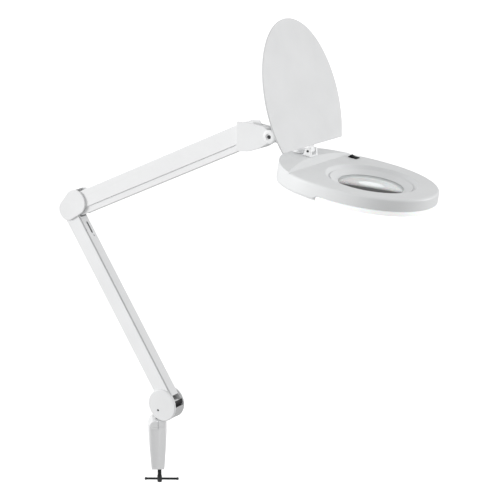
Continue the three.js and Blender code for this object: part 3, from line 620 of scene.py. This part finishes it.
def tommy_bar():
    """The cross bar of the screw, with a bead at each end."""
    half = HANDLE_LENGTH / 2
    bead = HANDLE_RADIUS + 0.6
    end = [
        (0, half), (1.4, half - 0.1), (bead - 0.5, half - 0.7), (bead, half - 1.6), (bead, half - 3.8),
        (bead - 0.4, half - 4.4), (HANDLE_RADIUS, half - 4.8),
    ]
    profile = [(radius, -height) for radius, height in end] + end[::-1]
    bar = moved(turned_about(turned(profile, 32), "Y", 90), x=HANDLE_OFFSET)
    return moved(turned_about(bar, "Z", HANDLE_TURN), x=SCREW_X, y=SCREW_Y, z=HANDLE_Z)


def pressure_foot():
    top = SCREW_TOP
    profile = [
        (0, top + 5.5), (3.4, top + 5.5), (3.4, top + 1.4), (6.4, top + 1.4), (7, top + 1.9),
        (12.4, top + 4.8), (13, top + 5.4), (13, top + 7.5), (12.5, top + 8), (0, top + 8),
    ]
    return moved(turned(profile, 64), x=SCREW_X, y=SCREW_Y)


def make_clamp():
    back = CLAMP_FRONT + CLAMP_DEPTH
    bracket = clamp_bracket()
    piece("clamp_casting", bracket, CLAMP, "clamp", GREY_PAINT, ["clamp_bracket"], 0.9)
    pad = rounded([(-14, CLAMP_FRONT + 12), (14, CLAMP_FRONT + 12), (14, back - 4), (-14, back - 4)], 4)
    pad = moved(slab_z(pad, 0, PAD, 0.5), x=CLAMP_X)
    piece("jaw_rubber", pad, CLAMP, "clamp", BLACK_RUBBER, ["jaw_pad"])
    rim, flange = JAW_TOP + 1.2, SPIGOT_RADIUS + 4.6
    ring = [
        (SPIGOT_RADIUS + 0.3, 5.5), (SPIGOT_RADIUS + 3, 5.5), (SPIGOT_RADIUS + 3, JAW_TOP + 0.3),
        (flange, JAW_TOP + 0.3), (flange, rim), (SPIGOT_RADIUS + 0.3, rim),
    ]
    sleeve = turned(ring, 64, True)
    piece("bushing", sleeve, CLAMP, "clamp", BLACK_PLASTIC, ["swivel_bushing"], 0.2)
    piece("screw_shank", threaded_shank(), CLAMP, "screw", DARK_STEEL, ["clamp_screw"])
    piece("tommy_bar", tommy_bar(), CLAMP, "handle", DARK_STEEL, ["clamp_handle"])
    piece("foot_plate", pressure_foot(), CLAMP, "foot", DARK_STEEL, ["pressure_foot"], 0.2)
    grip = drum_z(11.5, SCREW_TOP + 8.3, SCREW_TOP + 10.3, SCREW_X, SCREW_Y, 0.5, 64)
    piece("foot_rubber", grip, CLAMP, "foot", BLACK_RUBBER, ["foot_pad"])


# ---- base ---------------------------------------------------------------------------------


def tongue(start, start_radius, end, end_radius):
    return slab_y(belt((*start, start_radius), (*end, end_radius), 24), -TONGUE / 2, TONGUE / 2, 0.6)


def pin_hole(place, radius):
    return drum_y(radius + GAP, -30, 30, *place, steps=32)


def base_casting():
    width = COVER_INNER - GAP
    drum = slab_y(circle(0, 0, DISC_RADIUS - 0.5, 128), -width, width)
    slot = slab_y([(60, 0), (0, 0), (-52, 30), (-52, 60), (60, 60)], -width - 1, width + 1)
    arm_space = drum_y(LOWER["end"] + 2.9, -width - 1, width + 1, *LOWER_PIVOT, steps=96)
    link_space = drum_y(LOWER["link_below"] + 2, -width - 1, width + 1, *LOWER_LINK, steps=96)
    rim = cut(drum, slot, arm_space, link_space)
    spigot = drum_z(SPIGOT_RADIUS, -DISC_Z + 7, -24, -DISC_X, 0, 0.6)
    collar = drum_z(11, -DISC_Z + JAW_TOP + 1.6, -24, -DISC_X, 0, 0.8, 64)
    lug = tongue(LOWER_PIVOT, ARM_LUG, LOWER_LINK, LINK_LUG)
    stem = tongue(LOWER_PIVOT, ARM_LUG, (0, -22), ARM_LUG)
    casting = join(rim, lug, stem, collar, spigot)
    return cut(casting, pin_hole(LOWER_PIVOT, PIN_RADIUS), pin_hole(LOWER_LINK, LINK_PIN_RADIUS))


def arm_guard():
    """A black strip round the end of the link bar, which shuts the slot below it; its black is painted
    shade for the dark inside of the slot.
    """
    x, z = LOWER_LINK
    end, half = LOWER["link_below"], LINK_WIDTH / 2
    outer = drum_y(end + 1.3, -half, half, x, z, steps=96)
    inner = drum_y(end + GAP, -half - 1, half + 1, x, z, steps=96)
    sector = slab_y([(x, z), (x + 25, z - 30), (x + 40, z), (x + 40, z + 26)], -half - 1, half + 1)
    return common(cut(outer, inner), sector)


def disc_cover():
    """A cover disc: a flat face, a soft shoulder and a shallow step near the rim."""
    inner, outer, rim = COVER_INNER, COVER_OUTER, DISC_RADIUS
    profile = [
        (0, inner), (rim - 0.4, inner), (rim, inner + 0.4), (rim, outer - 2.0), (rim - 0.3, outer - 1.2),
        (rim - 1.1, outer - 0.5), (rim - 2.4, outer - 0.15), (rim - 4.0, outer - 0.1),
        (rim - 4.5, outer - 0.35), (rim - 5.0, outer - 0.1), (0, outer),
    ]
    disc = turned_about(turned(profile, 128), "X", 90)
    return cut(disc, drum_y(2.4, -outer - 1, -inner - 1.2, *COVER_SCREW, steps=32))


def socket_screw():
    """A cover screw with a hexagon socket, its head facing the viewer's side."""
    radius, low, high = 2.1, -COVER_OUTER + 0.6, -COVER_INNER - 1.5
    head = drum_y(radius, low, high, *COVER_SCREW, edge=0.3, steps=32)
    return cut(head, drum_y(radius * 0.55, low - 1, low + 1.4, *COVER_SCREW, steps=6))


def pin(place, radius, half):
    return drum_y(radius, -half, half, *place, edge=0.4, steps=32)


def make_base():
    piece("base_casting", base_casting(), BASE, "base", SATIN_METAL, ["base_core"], 0.35)
    # the guard's black plastic is painted shade standing in for the dark slot in the drum
    piece("painted_shade_slot_guard", arm_guard(), BASE, "lower_link", BLACK_PLASTIC, ["arm_guard"])
    for side, disc in both_sides(disc_cover):
        piece(f"disc_{side}", disc, BASE, "base", SHELL_PLASTIC, [f"base_cover_{side}"])
    for side, screw in both_sides(socket_screw):
        name = f"disc_screw_{side}"
        piece(name, screw, BASE, "base", DARK_STEEL, [f"cover_screw_{side}"])


def make_pins():
    """The pins of both arms: long ones through the channels, short ones through the link bars."""
    long_half, short_half = COVER_INNER - GAP, LINK_WIDTH / 2
    for node, body, place, radius, half in (
        ("base_arm_pin", "base", LOWER_PIVOT, PIN_RADIUS, long_half),
        ("base_link_pin", "base", LOWER_LINK, LINK_PIN_RADIUS, short_half),
        ("elbow_lower_arm_pin", "elbow", ELBOW_LOW, PIN_RADIUS, long_half),
        ("elbow_lower_link_pin", "elbow", ELBOW_LOW_LINK, LINK_PIN_RADIUS, short_half),
        ("elbow_upper_arm_pin", "elbow", UPPER_PIVOT, PIN_RADIUS, long_half),
        ("elbow_upper_link_pin", "elbow", UPPER_LINK, LINK_PIN_RADIUS, short_half),
        ("wrist_arm_pin", "wrist", WRIST_PIN, PIN_RADIUS, long_half),
        ("wrist_link_pin", "wrist", WRIST_LINK, LINK_PIN_RADIUS, short_half),
    ):
        piece(node + "_bar", pin(place, radius, half), BASE, body, SPRING_STEEL, [node])


# ---- arms ---------------------------------------------------------------------------------


def u_section(half, wall, low, high, corner):
    """A channel's section in Y and Z: two sides under a web, its outer corners rounded."""
    inside = half - wall
    return rounded([
        (-half, low), (-inside, low), (-inside, high - wall), (inside, high - wall), (inside, low),
        (half, low), (half, high), (-half, high),
    ], (0.4, 0.4, 0.9, 0.9, 0.4, 0.4, corner, corner), 5)


def bar_with_ends(section, end_radius, width, pins, web_start=WEB_START):
    """A bar of constant section with rounded ends, opened at the ends for the tongues."""
    half = width / 2
    bar = slab_x(section, -end_radius, ARM_LENGTH + end_radius)
    stadium = slab_y(belt((0, 0, end_radius), (ARM_LENGTH, 0, end_radius + 0.001), 48), -half - 1, half + 1)
    bar = common(bar, stadium)
    inside = half - ARM_WALL
    tools = [
        block(-end_radius - 1, web_start, -inside, inside, -40, 40),
        block(ARM_LENGTH - WEB_START, ARM_LENGTH + end_radius + 1, -inside, inside, -40, 40),
    ]
    tools += [pin_hole((x, 0), radius) for x, radius in pins]
    return cut(bar, *tools)


def channel(arm):
    section = u_section(ARM_WIDTH / 2, ARM_WALL, -arm["below"], arm["above"], 1.2)
    pins = ((0, PIN_RADIUS), (ARM_LENGTH, PIN_RADIUS))
    bar = bar_with_ends(section, arm["end"], ARM_WIDTH, pins, arm["web_start"])
    top = arm["above"] + 1
    return cut(bar, slab_y([(ARM_LENGTH + 2, top), (ARM_LENGTH + 40, -2), (ARM_LENGTH + 40, top)], -20, 20))


def link(arm):
    half = LINK_WIDTH / 2
    section = [(y, -z) for y, z in u_section(half, LINK_WALL, -arm["link_above"], arm["link_below"], 1.8)]
    pins = ((0, LINK_PIN_RADIUS), (ARM_LENGTH, LINK_PIN_RADIUS + 0.3))
    bar = bar_with_ends(section, arm["link_below"], LINK_WIDTH, pins)
    slot = slab_z(belt((ARM_LENGTH - 50, 1, 2.2), (ARM_LENGTH - 28, 1, 2.201), 16), -20, 0)
    hole = drum_z(1.6, -20, 0, ARM_LENGTH - 58, 2, steps=24)
    return cut(bar, slot, hole)


def coil_spring(y, z):
    """A balance spring along +X: close coils with a drawn-out hook at each end."""
    radius, wire, start, end = 3.4, 0.6, 46.0, 302.0
    pitch = 1.75
    turns = (end - start) / pitch
    per_turn = 12
    path = [(34 + 0.5 * i, y, z) for i in range(20)]
    for i in range(int(turns * per_turn) + 1):
        angle = 2 * math.pi * i / per_turn
        swell = min(1.0, i / 12, (turns * per_turn - i) / 12)
        x = start + pitch * i / per_turn
        path.append((x, y + swell * radius * math.cos(angle), z + swell * radius * math.sin(angle)))
    path += [(end + 1 + 0.5 * i, y, z) for i in range(20)]
    return tube(path, wire, 6)


def make_arm(name, arm, near, far, near_link, link_paint_and_painted_shade):
    """A channel with its two springs, on one body, and its link bar, on a body of its own."""
    place = arm_axes(near, far, near)
    link_place = arm_axes(near, far, near_link)
    body, link_body = f"{name}_arm", f"{name}_link"
    bar = channel(arm)
    piece(f"{name}_outer_bar", bar, place, body, WHITE_PAINT, [body + "_channel"], 0.25)
    bar = link(arm)
    piece(f"{name}_inner_bar", bar, link_place, link_body, link_paint_and_painted_shade, [body + "_link"], 0.2)
    height = arm["above"] - 6.4
    for side, y in (("front", -5.4), ("rear", 5.4)):
        coil = coil_spring(y, height)
        node = f"{name}_spring_{side}"
        piece(f"{name}_coil_{side}", coil, place, body, SPRING_STEEL, [node])
    half = ARM_WIDTH / 2 - ARM_WALL - GAP
    anchor = drum_y(2.5, -half, half, 318, height, 0.4, 32)
    piece(f"{name}_anchor_bar", anchor, place, body, SPRING_STEEL, [f"{name}_spring_anchor"])


# ---- elbow --------------------------------------------------------------------------------


def elbow_cap():
    return slab_y(belt(*ELBOW_LOBES, 64), -COVER_OUTER, -COVER_INNER, 1.6)


def elbow_casting():
    """Lugs between the four pins, and a corner filled out under the caps, clear of both channels."""
    width = COVER_INNER - GAP
    small = [(x, z, radius - 1.2) for x, z, radius in ELBOW_LOBES]
    corner = common(
        slab_y(belt(*small, 64), -width, width),
        slab_y([(-262, 393), (-228, 393), (-216, 408), (-216, 440), (-262, 440)], -width - 1, width + 1),
    )
    corner = cut(
        corner,
        drum_y(LOWER["end"] + 0.8, -width - 1, width + 1, *ELBOW_LOW, steps=96),
        drum_y(UPPER["end"] + 0.8, -width - 1, width + 1, *UPPER_PIVOT, steps=96),
    )
    casting = join(
        corner,
        tongue(ELBOW_LOW, ARM_LUG, UPPER_PIVOT, ARM_LUG),
        tongue(ELBOW_LOW, ARM_LUG, ELBOW_LOW_LINK, LINK_LUG),
        tongue(UPPER_PIVOT, ARM_LUG, UPPER_LINK, LINK_LUG),
        tongue(ELBOW_LOW_LINK, LINK_LUG, UPPER_LINK, LINK_LUG - 0.001),
        tongue((-222, 396), 6, (-233, 402), 4),
    )
    return cut(
        casting, pin_hole(ELBOW_LOW, PIN_RADIUS), pin_hole(ELBOW_LOW_LINK, LINK_PIN_RADIUS),
        pin_hole(UPPER_PIVOT, PIN_RADIUS), pin_hole(UPPER_LINK, LINK_PIN_RADIUS),
    )


def make_elbow():
    piece("elbow_casting", elbow_casting(), BASE, "elbow", WHITE_PAINT, ["elbow_core"], 0.25)
    for side, cap in both_sides(elbow_cap):
        name = f"elbow_shell_{side}"
        piece(name, cap, BASE, "elbow", WHITE_PLASTIC, [f"elbow_cap_{side}"])


# ---- wrist --------------------------------------------------------------------------------


def wrist_shell(drop):
    """A side of the wrist, its top edge lowered by a drop."""
    outline = [(x, z - drop if z > 580 else z) for x, z in WRIST_OUTLINE]
    shell = slab_y(rounded(outline, 4), -COVER_OUTER + 0.4, -COVER_INNER, 1.2)
    return cut(shell, pin_hole(TILT_AXIS, PIN_RADIUS))


def wrist_casting():
    width = COVER_INNER - GAP
    outline = [(WRIST_CORE_X, 555), (236, 559), (240, 566), (240, 593), (WRIST_CORE_X, 597)]
    body = join(
        slab_y(rounded(outline, 2), -width, width),
        tongue(WRIST_PIN, ARM_LUG, (WRIST_CORE_X + 4, 588), 8),
        tongue(WRIST_LINK, LINK_LUG, (WRIST_CORE_X + 4, 566), 6),
    )
    return cut(
        body, pin_hole(WRIST_PIN, PIN_RADIUS), pin_hole(WRIST_LINK, LINK_PIN_RADIUS),
        drum_y(12.2, -width - 1, width + 1, *TILT_AXIS, steps=64),
    )


def tilt_boss():
    """A round knob with a rolled rim and a recess for the bolt head."""
    face, rim = COVER_OUTER, TILT_BOSS_RADIUS
    profile = [
        (0, face - 0.1), (rim - 0.3, face - 0.1), (rim, face + 0.3), (rim, face + 1.4),
        (rim - 0.7, face + 2.4), (rim - 2.2, face + 3.1), (rim - 4, face + 3.4),
        (6.4, face + 3.4), (5.4, face + 1.6), (0, face + 1.6),
    ]
    boss = turned_about(turned(profile, 96), "X", 90)
    boss = cut(boss, drum_y(3.0, -face - 5, -face + 1, steps=24))
    return moved(boss, x=TILT_AXIS[0], z=TILT_AXIS[1])


def friction_ring():
    profile = [(3.3, 12.1), (9.8, 12.1), (10, 12.3), (10, 13.5), (9.8, 13.7), (3.3, 13.7)]
    return moved(turned_about(turned(profile, 64, True), "X", 90), x=TILT_AXIS[0], z=TILT_AXIS[1])


def make_wrist():
    for side, shell in (("front", wrist_shell(0)), ("rear", mirrored(wrist_shell(REAR_DROP)))):
        name = f"wrist_side_{side}"
        piece(name, shell, BASE, "wrist", SHELL_PLASTIC, [f"wrist_shell_{side}"])
    piece("wrist_casting", wrist_casting(), BASE, "wrist", WHITE_PAINT, ["wrist_core"], 0.3)
    bolt = join(
        pin(TILT_AXIS, PIN_RADIUS - 0.3, COVER_OUTER + 1.6),
        drum_y(3.7, -COVER_OUTER - 2.6, -COVER_OUTER - 1.7, *TILT_AXIS, edge=0.4),
        drum_y(3.7, COVER_OUTER + 1.7, COVER_OUTER + 2.6, *TILT_AXIS, edge=0.4),
    )
    piece("tilt_bolt_shank", bolt, BASE, "wrist", DARK_STEEL, ["tilt_bolt"])
    for side, knob in both_sides(tilt_boss):
        name = f"tilt_knob_{side}"
        piece(name, knob, BASE, "wrist", WHITE_PLASTIC, [f"tilt_boss_{side}"])
    for side, ring in both_sides(friction_ring):
        name = f"friction_ring_{side}"
        piece(name, ring, BASE, "wrist", SPRING_STEEL, [f"tilt_washer_{side}"])


# ---- head ---------------------------------------------------------------------------------


def head_outline(margin, steps=180):
    """The plan of the head, drawn inset by a margin: half an ellipse ahead, fuller behind."""
    points = []
    for i in range(steps):
        angle = 2 * math.pi * (i + 0.5) / steps
        behind = math.cos(angle) < 0
        power = HEAD_REAR_POWER if behind else 2
        length = (HEAD_REAR if behind else HEAD_FRONT) - margin
        c, s = math.cos(angle), math.sin(angle)
        x = HEAD_MID_X + length * math.copysign(abs(c) ** (2 / power), c)
        y = (HEAD_HALF_WIDTH - margin) * math.copysign(abs(s) ** (2 / power), s)
        points.append((x, y))
    return points


def plan_block(margin, low, high, end=None, edge=0.0):
    """A slab over the plan of the head, or over the part of it behind end."""
    whole = slab_z(head_outline(margin), low, high, edge)
    if end is None:
        return whole
    return common(whole, block(-400, end, -200, 200, low - 1, high + 1))


def rear_zone(margin, setback, low, high):
    """The zone of the deep rear housing: behind a line across the head, and clear of the lens."""
    zone = plan_block(margin, low, high, REAR_START - setback)
    return cut(zone, drum_z(EYE_CLEARANCE + setback, low - 1, high + 1, steps=128))


def head_walls(steps=240):
    """The outer wall, the rounded shoulder, the deck, the funnel and the inside, as one skin."""
    outer = head_outline(0, steps)
    angles = [math.atan2(y, x) for x, y in outer]

    def foot(x):
        """The height of the wall's foot, which drops smoothly into the deep rear housing."""
        rise = min(1.0, max(0.0, (x - REAR_START + 5) / 6))
        rise = rise * rise * (3 - 2 * rise)
        return -REAR_DEPTH + (REAR_DEPTH - FRONT_DEPTH) * rise

    def level(margin, height, to_foot=0.0):
        feet = [foot(x) for x, y in outer]
        plan = head_outline(margin, steps)
        return [(x, y, height + to_foot * (low - height)) for (x, y), low in zip(plan, feet)]

    def round_level(radius, height):
        return [(radius * math.cos(a), radius * math.sin(a), height) for a in angles]

    rings = [level(SHELL_WALL, -4.1), level(SHELL_WALL, -4.1, 1.0), level(0.5, -4.1, 1.0)]
    rings.append([(x, y, z + 0.5) for x, y, z in level(0, -4.1, 1.0)])
    rings += [level(margin, height) for margin, height in DECK_EDGE]
    rings += [round_level(radius, height) for radius, height in FUNNEL_PROFILE]
    return loft(rings + [rings[0]], closed_ends=False)


def hump():
    """The raised rear deck: a short slope, then a crowned top that falls towards the neck."""
    ridge = HUMP_FRONT - HUMP_SLOPE
    body = plan_block(0.5, -3, HUMP_HEIGHT, HUMP_FRONT)
    outline = [(-300, -4), (HUMP_FRONT, -4), (HUMP_FRONT, 0.2), (ridge, HUMP_HEIGHT), (-300, 4)]
    side = slab_y(outline, -200, 200)
    crown = drum_x(HUMP_CROWN, -300, 0, 0, HUMP_HEIGHT - HUMP_CROWN, steps=1440)
    return soften_edges(common(body, side, crown), 3.2, 5, 12)


def head_shell():
    shell = head_walls()
    return cut(
        shell,
        drum_z(NECK_HOLE, -20, 20, SWIVEL_X, steps=48),
        block(SWITCH_X - 8.3, SWITCH_X + 8.3, SWITCH_Y - 6.6, SWITCH_Y + 6.6, -12, 4),
    )


def rear_cover():
    plate = rear_zone(0.6, 0.4, -REAR_DEPTH - 3.4, -REAR_DEPTH - GAP)
    soften_edges(plate, 1.2, 4)
    web = rear_zone(3.0, 0.4, -REAR_DEPTH - 0.6, -FRONT_DEPTH - 0.6)
    return join(plate, web)


def diffuser():
    low = -FRONT_DEPTH - DIFFUSER_DEPTH
    high = -FRONT_DEPTH - GAP
    outer = cut(plan_block(1.4, low, high, edge=2.2), rear_zone(-1, -0.6, low - 1, high + 1))
    inner = cut(plan_block(3.4, low + 2, high + 1), rear_zone(-1, -2.6, low, high + 2))
    eye = drum_z(LENS_RADIUS + 1.4, low + 1.9, high, steps=128)
    hole = drum_z(LENS_RADIUS - 1, low - 1, high + 2, steps=128)
    return cut(join(cut(outer, inner), eye), hole)


def lens():
    steps = 24
    half = LENS_RADIUS

    def bulge(radius):
        return 1.2 + 1.6 * (1 - (radius / half) ** 2)

    upper = [(half * i / steps, bulge(half * i / steps)) for i in range(steps + 1)]
    profile = [(radius, -height) for radius, height in upper] + upper[::-1]
    return moved(turned(profile, 128), z=LENS_SEAT - 2.2)


def lens_retainer():
    """The ring under the glass, with a sleeve down to the eye of the diffuser."""
    under, eye_top = LENS_SEAT - 3.8, -FRONT_DEPTH
    return turned([
        (LENS_RADIUS - 1, eye_top), (LENS_RADIUS + 1, eye_top), (LENS_RADIUS + 1, under - 1.8),
        (LENS_RADIUS + 2.6, under - 1.8), (LENS_RADIUS + 2.6, under), (LENS_RADIUS - 2.5, under),
        (LENS_RADIUS - 2.5, under - 1.8), (LENS_RADIUS - 1, under - 1.8),
    ], 128, True)


def rocker_frame():
    outline = rounded([(-9.2, -7.5), (9.2, -7.5), (9.2, 7.5), (-9.2, 7.5)], 1.6)
    rim = slab_z(outline, 0.3, 1.6, 0.4)
    well = block(-7.9, 7.9, -6.2, 6.2, -10, 1)
    return moved(cut(join(rim, well), block(-6.9, 6.9, -5.2, 5.2, -8.4, 3)), x=SWITCH_X, y=SWITCH_Y)


def rocker():
    side = [(-6.3, -2), (6.3, -2), (6.5, 1.8), (3, 2), (0, 2.4), (-3, 3.2), (-6, 4.4), (-6.5, 4.2)]
    key = join(slab_y(side, -4.8, 4.8), drum_y(1.8, -4.8, 4.8, 0, -1.6, steps=32))
    return moved(key, x=SWITCH_X, y=SWITCH_Y)


def neck():
    knuckle, bridge, foot = (-215.5, 25.7), (-188, 22), (SWIVEL_X, 15.5)
    body = join(
        drum_y(10.6, -11.6, 11.6, *knuckle, edge=0.8, steps=64),
        slab_y(belt((*knuckle, 9.5), (*bridge, 8), 32), -9, 9, 1.4),
        slab_y(belt((*bridge, 8), (*foot, 6), 32), -9, 9, 1.4),
        drum_z(11, HUMP_HEIGHT - 0.4, HUMP_HEIGHT + 8, SWIVEL_X, 0, 1.4, 64),
        drum_z(5.2, -12, HUMP_HEIGHT + 5, SWIVEL_X, 0, 0.4, 48),
    )
    return cut(body, drum_y(3.3, -20, 20, *knuckle, steps=32))


def lid_outline():
    half_length, half_width = 154.0, LID_HALF_WIDTH
    centre = LID_EDGE_X + LID_LENGTH - half_length
    edge_angle = math.acos((LID_EDGE_X - centre) / half_length)
    steps = 120
    points = []
    for i in range(steps + 1):
        angle = -edge_angle + 2 * edge_angle * i / steps
        points.append((centre + half_length * math.cos(angle), half_width * math.sin(angle)))
    return points


def lid_arm():
    top = LID_UNDER + LID_THICKNESS + GAP
    side = rounded([
        (1, top), (LID_EDGE_X + 16, top), (LID_EDGE_X + 16, top + 2.4), (LID_EDGE_X + 2, top + 3.6),
        (3.6, 3.6), (-3.6, 3.6), (-4.2, -2.6),
    ], 1.2)
    arm = join(slab_y(side, -6.5, 6.5), drum_y(4.6, -6.5, 6.5, steps=48))
    return cut(arm, drum_y(HINGE_HOLE, -8, 8, steps=32))


def hinge_seat():
    x, z = LID_AXIS.x, LID_AXIS.z
    low = HUMP_HEIGHT + 0.4
    ear = rounded([(x - 9, low), (x + 8, low), (x + 5, z + 5), (x - 5, z + 5)], 3)
    seat = join(
        block(x - 9, x + 8, -13, 13, low, HUMP_HEIGHT + 3),
        slab_y(ear, -13, -7.2, 0.6),
        slab_y(ear, 7.2, 13, 0.6),
    )
    return cut(seat, drum_y(HINGE_HOLE, -20, 20, x, z, steps=32))


def make_head():
    top = join(head_shell(), hump())
    top = cut(top, drum_z(NECK_HOLE, -20, 20, SWIVEL_X, steps=48))
    piece("head_top", top, HEAD, "head", HEAD_PLASTIC, ["head_top_shell"])
    under = rear_cover()
    piece("head_underside", under, HEAD, "head", HEAD_PLASTIC, ["head_rear_cover"])
    piece("opal_ring", diffuser(), HEAD, "head", OPAL, ["diffuser"])
    piece("glass_lens", lens(), HEAD, "head", LENS_GLASS, ["lens"])
    ring = lens_retainer()
    piece("lens_ring", ring, HEAD, "head", WHITE_PLASTIC, ["lens_retainer"], 0.2)
    surround = rocker_frame()
    piece("switch_frame", surround, HEAD, "head", BLACK_PLASTIC, ["rocker_frame"], 0.2)
    piece("switch_key", rocker(), HEAD, "rocker", BLACK_PLASTIC, ["rocker"], 0.3)
    piece("neck_casting", neck(), HEAD, "neck", WHITE_PLASTIC, ["neck"], 0.3)
    seat = hinge_seat()
    piece("hinge_seat", seat, HEAD, "head", WHITE_PLASTIC, ["lid_hinge_seat"], 0.3)
    hinge_pin = drum_y(2, -14.5, 14.5, LID_AXIS.x, LID_AXIS.z, 0.4, 32)
    piece("hinge_bar", hinge_pin, HEAD, "head", DARK_STEEL, ["lid_hinge_pin"])
    cover = slab_z(lid_outline(), LID_UNDER, LID_UNDER + LID_THICKNESS, 0.9)
    piece("lid_panel", cover, LID, "lid", LID_PLASTIC, ["lid"])
    piece("lid_bracket", lid_arm(), LID, "lid", WHITE_PLASTIC, ["lid_arm"], 0.4)
    for node, material in (("led_board", BOARD), ("driver_board", BOARD), ("neck_nut", SPRING_STEEL)):
        frame["nodes"][node].data.materials.clear()
        frame["nodes"][node].data.materials.append(material)


# ---- stage --------------------------------------------------------------------------------
CAMERA_AZIMUTH = -3.9
CAMERA_ELEVATION = 14.0
CAMERA_DISTANCE = 3.0
CAMERA_LENS = 111.7
CAMERA_TARGET = Vector((0.1762, -0.1304, 0.409))
FLOOR_Z = -0.75
SKY_LEVEL = 0.52  # what the studio's walls give off; the camera sees them as pure white
# each soft light: azimuth and elevation in degrees, strength, angular width in degrees
SOFT_LIGHTS = {
    "left_wall": (-86, 3, 2.7, 30),
    "right_wall": (93, 3, 2.1, 30),
    "ceiling": (0, 85, 0.62, 120),
}


def direction(azimuth, elevation):
    """Away from the lamp: azimuth in degrees from the viewer's side round to +X, and elevation."""
    turn, rise = math.radians(azimuth), math.radians(elevation)
    return Vector((math.sin(turn) * math.cos(rise), -math.cos(turn) * math.cos(rise), math.sin(rise)))


def make_camera():
    back = direction(CAMERA_AZIMUTH, CAMERA_ELEVATION)
    data = bpy.data.cameras.new("camera")
    data.lens = CAMERA_LENS
    data.sensor_width = 36
    camera = bpy.data.objects.new("camera", data)
    camera.location = CAMERA_TARGET + back * CAMERA_DISTANCE
    camera.rotation_euler = back.to_track_quat("Z", "Y").to_euler()
    scene.collection.objects.link(camera)
    scene.camera = camera


def soft_light(name, azimuth, elevation, strength, width):
    data = bpy.data.lights.new(name, "SUN")
    data.energy = strength
    data.angle = math.radians(width)
    light = bpy.data.objects.new(name, data)
    light.rotation_euler = direction(azimuth, elevation).to_track_quat("Z", "Y").to_euler()
    scene.collection.objects.link(light)


def studio_sky():
    """Even white walls all round, pure white as a backdrop."""
    world = bpy.data.worlds.new("studio")
    world.use_nodes = True
    nodes, links = world.node_tree.nodes, world.node_tree.links
    path = nodes.new("ShaderNodeLightPath")
    seen = nodes.new("ShaderNodeMix")
    seen.inputs["A"].default_value = SKY_LEVEL
    seen.inputs["B"].default_value = 1.0
    links.new(path.outputs["Is Camera Ray"], seen.inputs["Factor"])
    background = nodes["Background"]
    background.inputs["Color"].default_value = (1, 1, 1, 1)
    links.new(seen.outputs["Result"], background.inputs["Strength"])
    return world


def make_floor():
    """A pale sweep well under the lamp, bright enough to read as white, that adds no light."""
    half = 40
    corners = [(-half, -half), (half, -half), (half, half), (-half, half)]
    floor = mesh_object([(x, y, FLOOR_Z) for x, y in corners], [(0, 1, 2, 3)])
    floor.name = "floor"
    material, nodes, links, shader = new_material("pale_floor")
    cloud = noise(nodes, links, 2.0)
    pale = mixed_colour(nodes, links, cloud, (0.97, 0.97, 0.97), (0.99, 0.99, 0.99))
    links.new(pale, shader.inputs["Base Color"])
    shader.inputs["Roughness"].default_value = 0.9
    shader.inputs["Emission Color"].default_value = (1, 1, 1, 1)
    shader.inputs["Emission Strength"].default_value = 0.4
    floor.data.materials.append(material)
    floor.visible_diffuse = False
    floor.visible_glossy = False


def make_stage():
    make_floor()
    scene.world = studio_sky()
    scene.view_settings.view_transform = "Standard"
    for name, settings in SOFT_LIGHTS.items():
        soft_light(name, *settings)


make_camera()
make_stage()
make_clamp()
make_base()
make_pins()
# the lower link's darker coat is painted shade; the upper link keeps the plain white coat
make_arm("lower", LOWER, LOWER_PIVOT, ELBOW_LOW, LOWER_LINK, SHADED_LINK_PAINT)
make_arm("upper", UPPER, UPPER_PIVOT, WRIST_PIN, UPPER_LINK, WHITE_PAINT)
make_elbow()
make_wrist()
make_head()
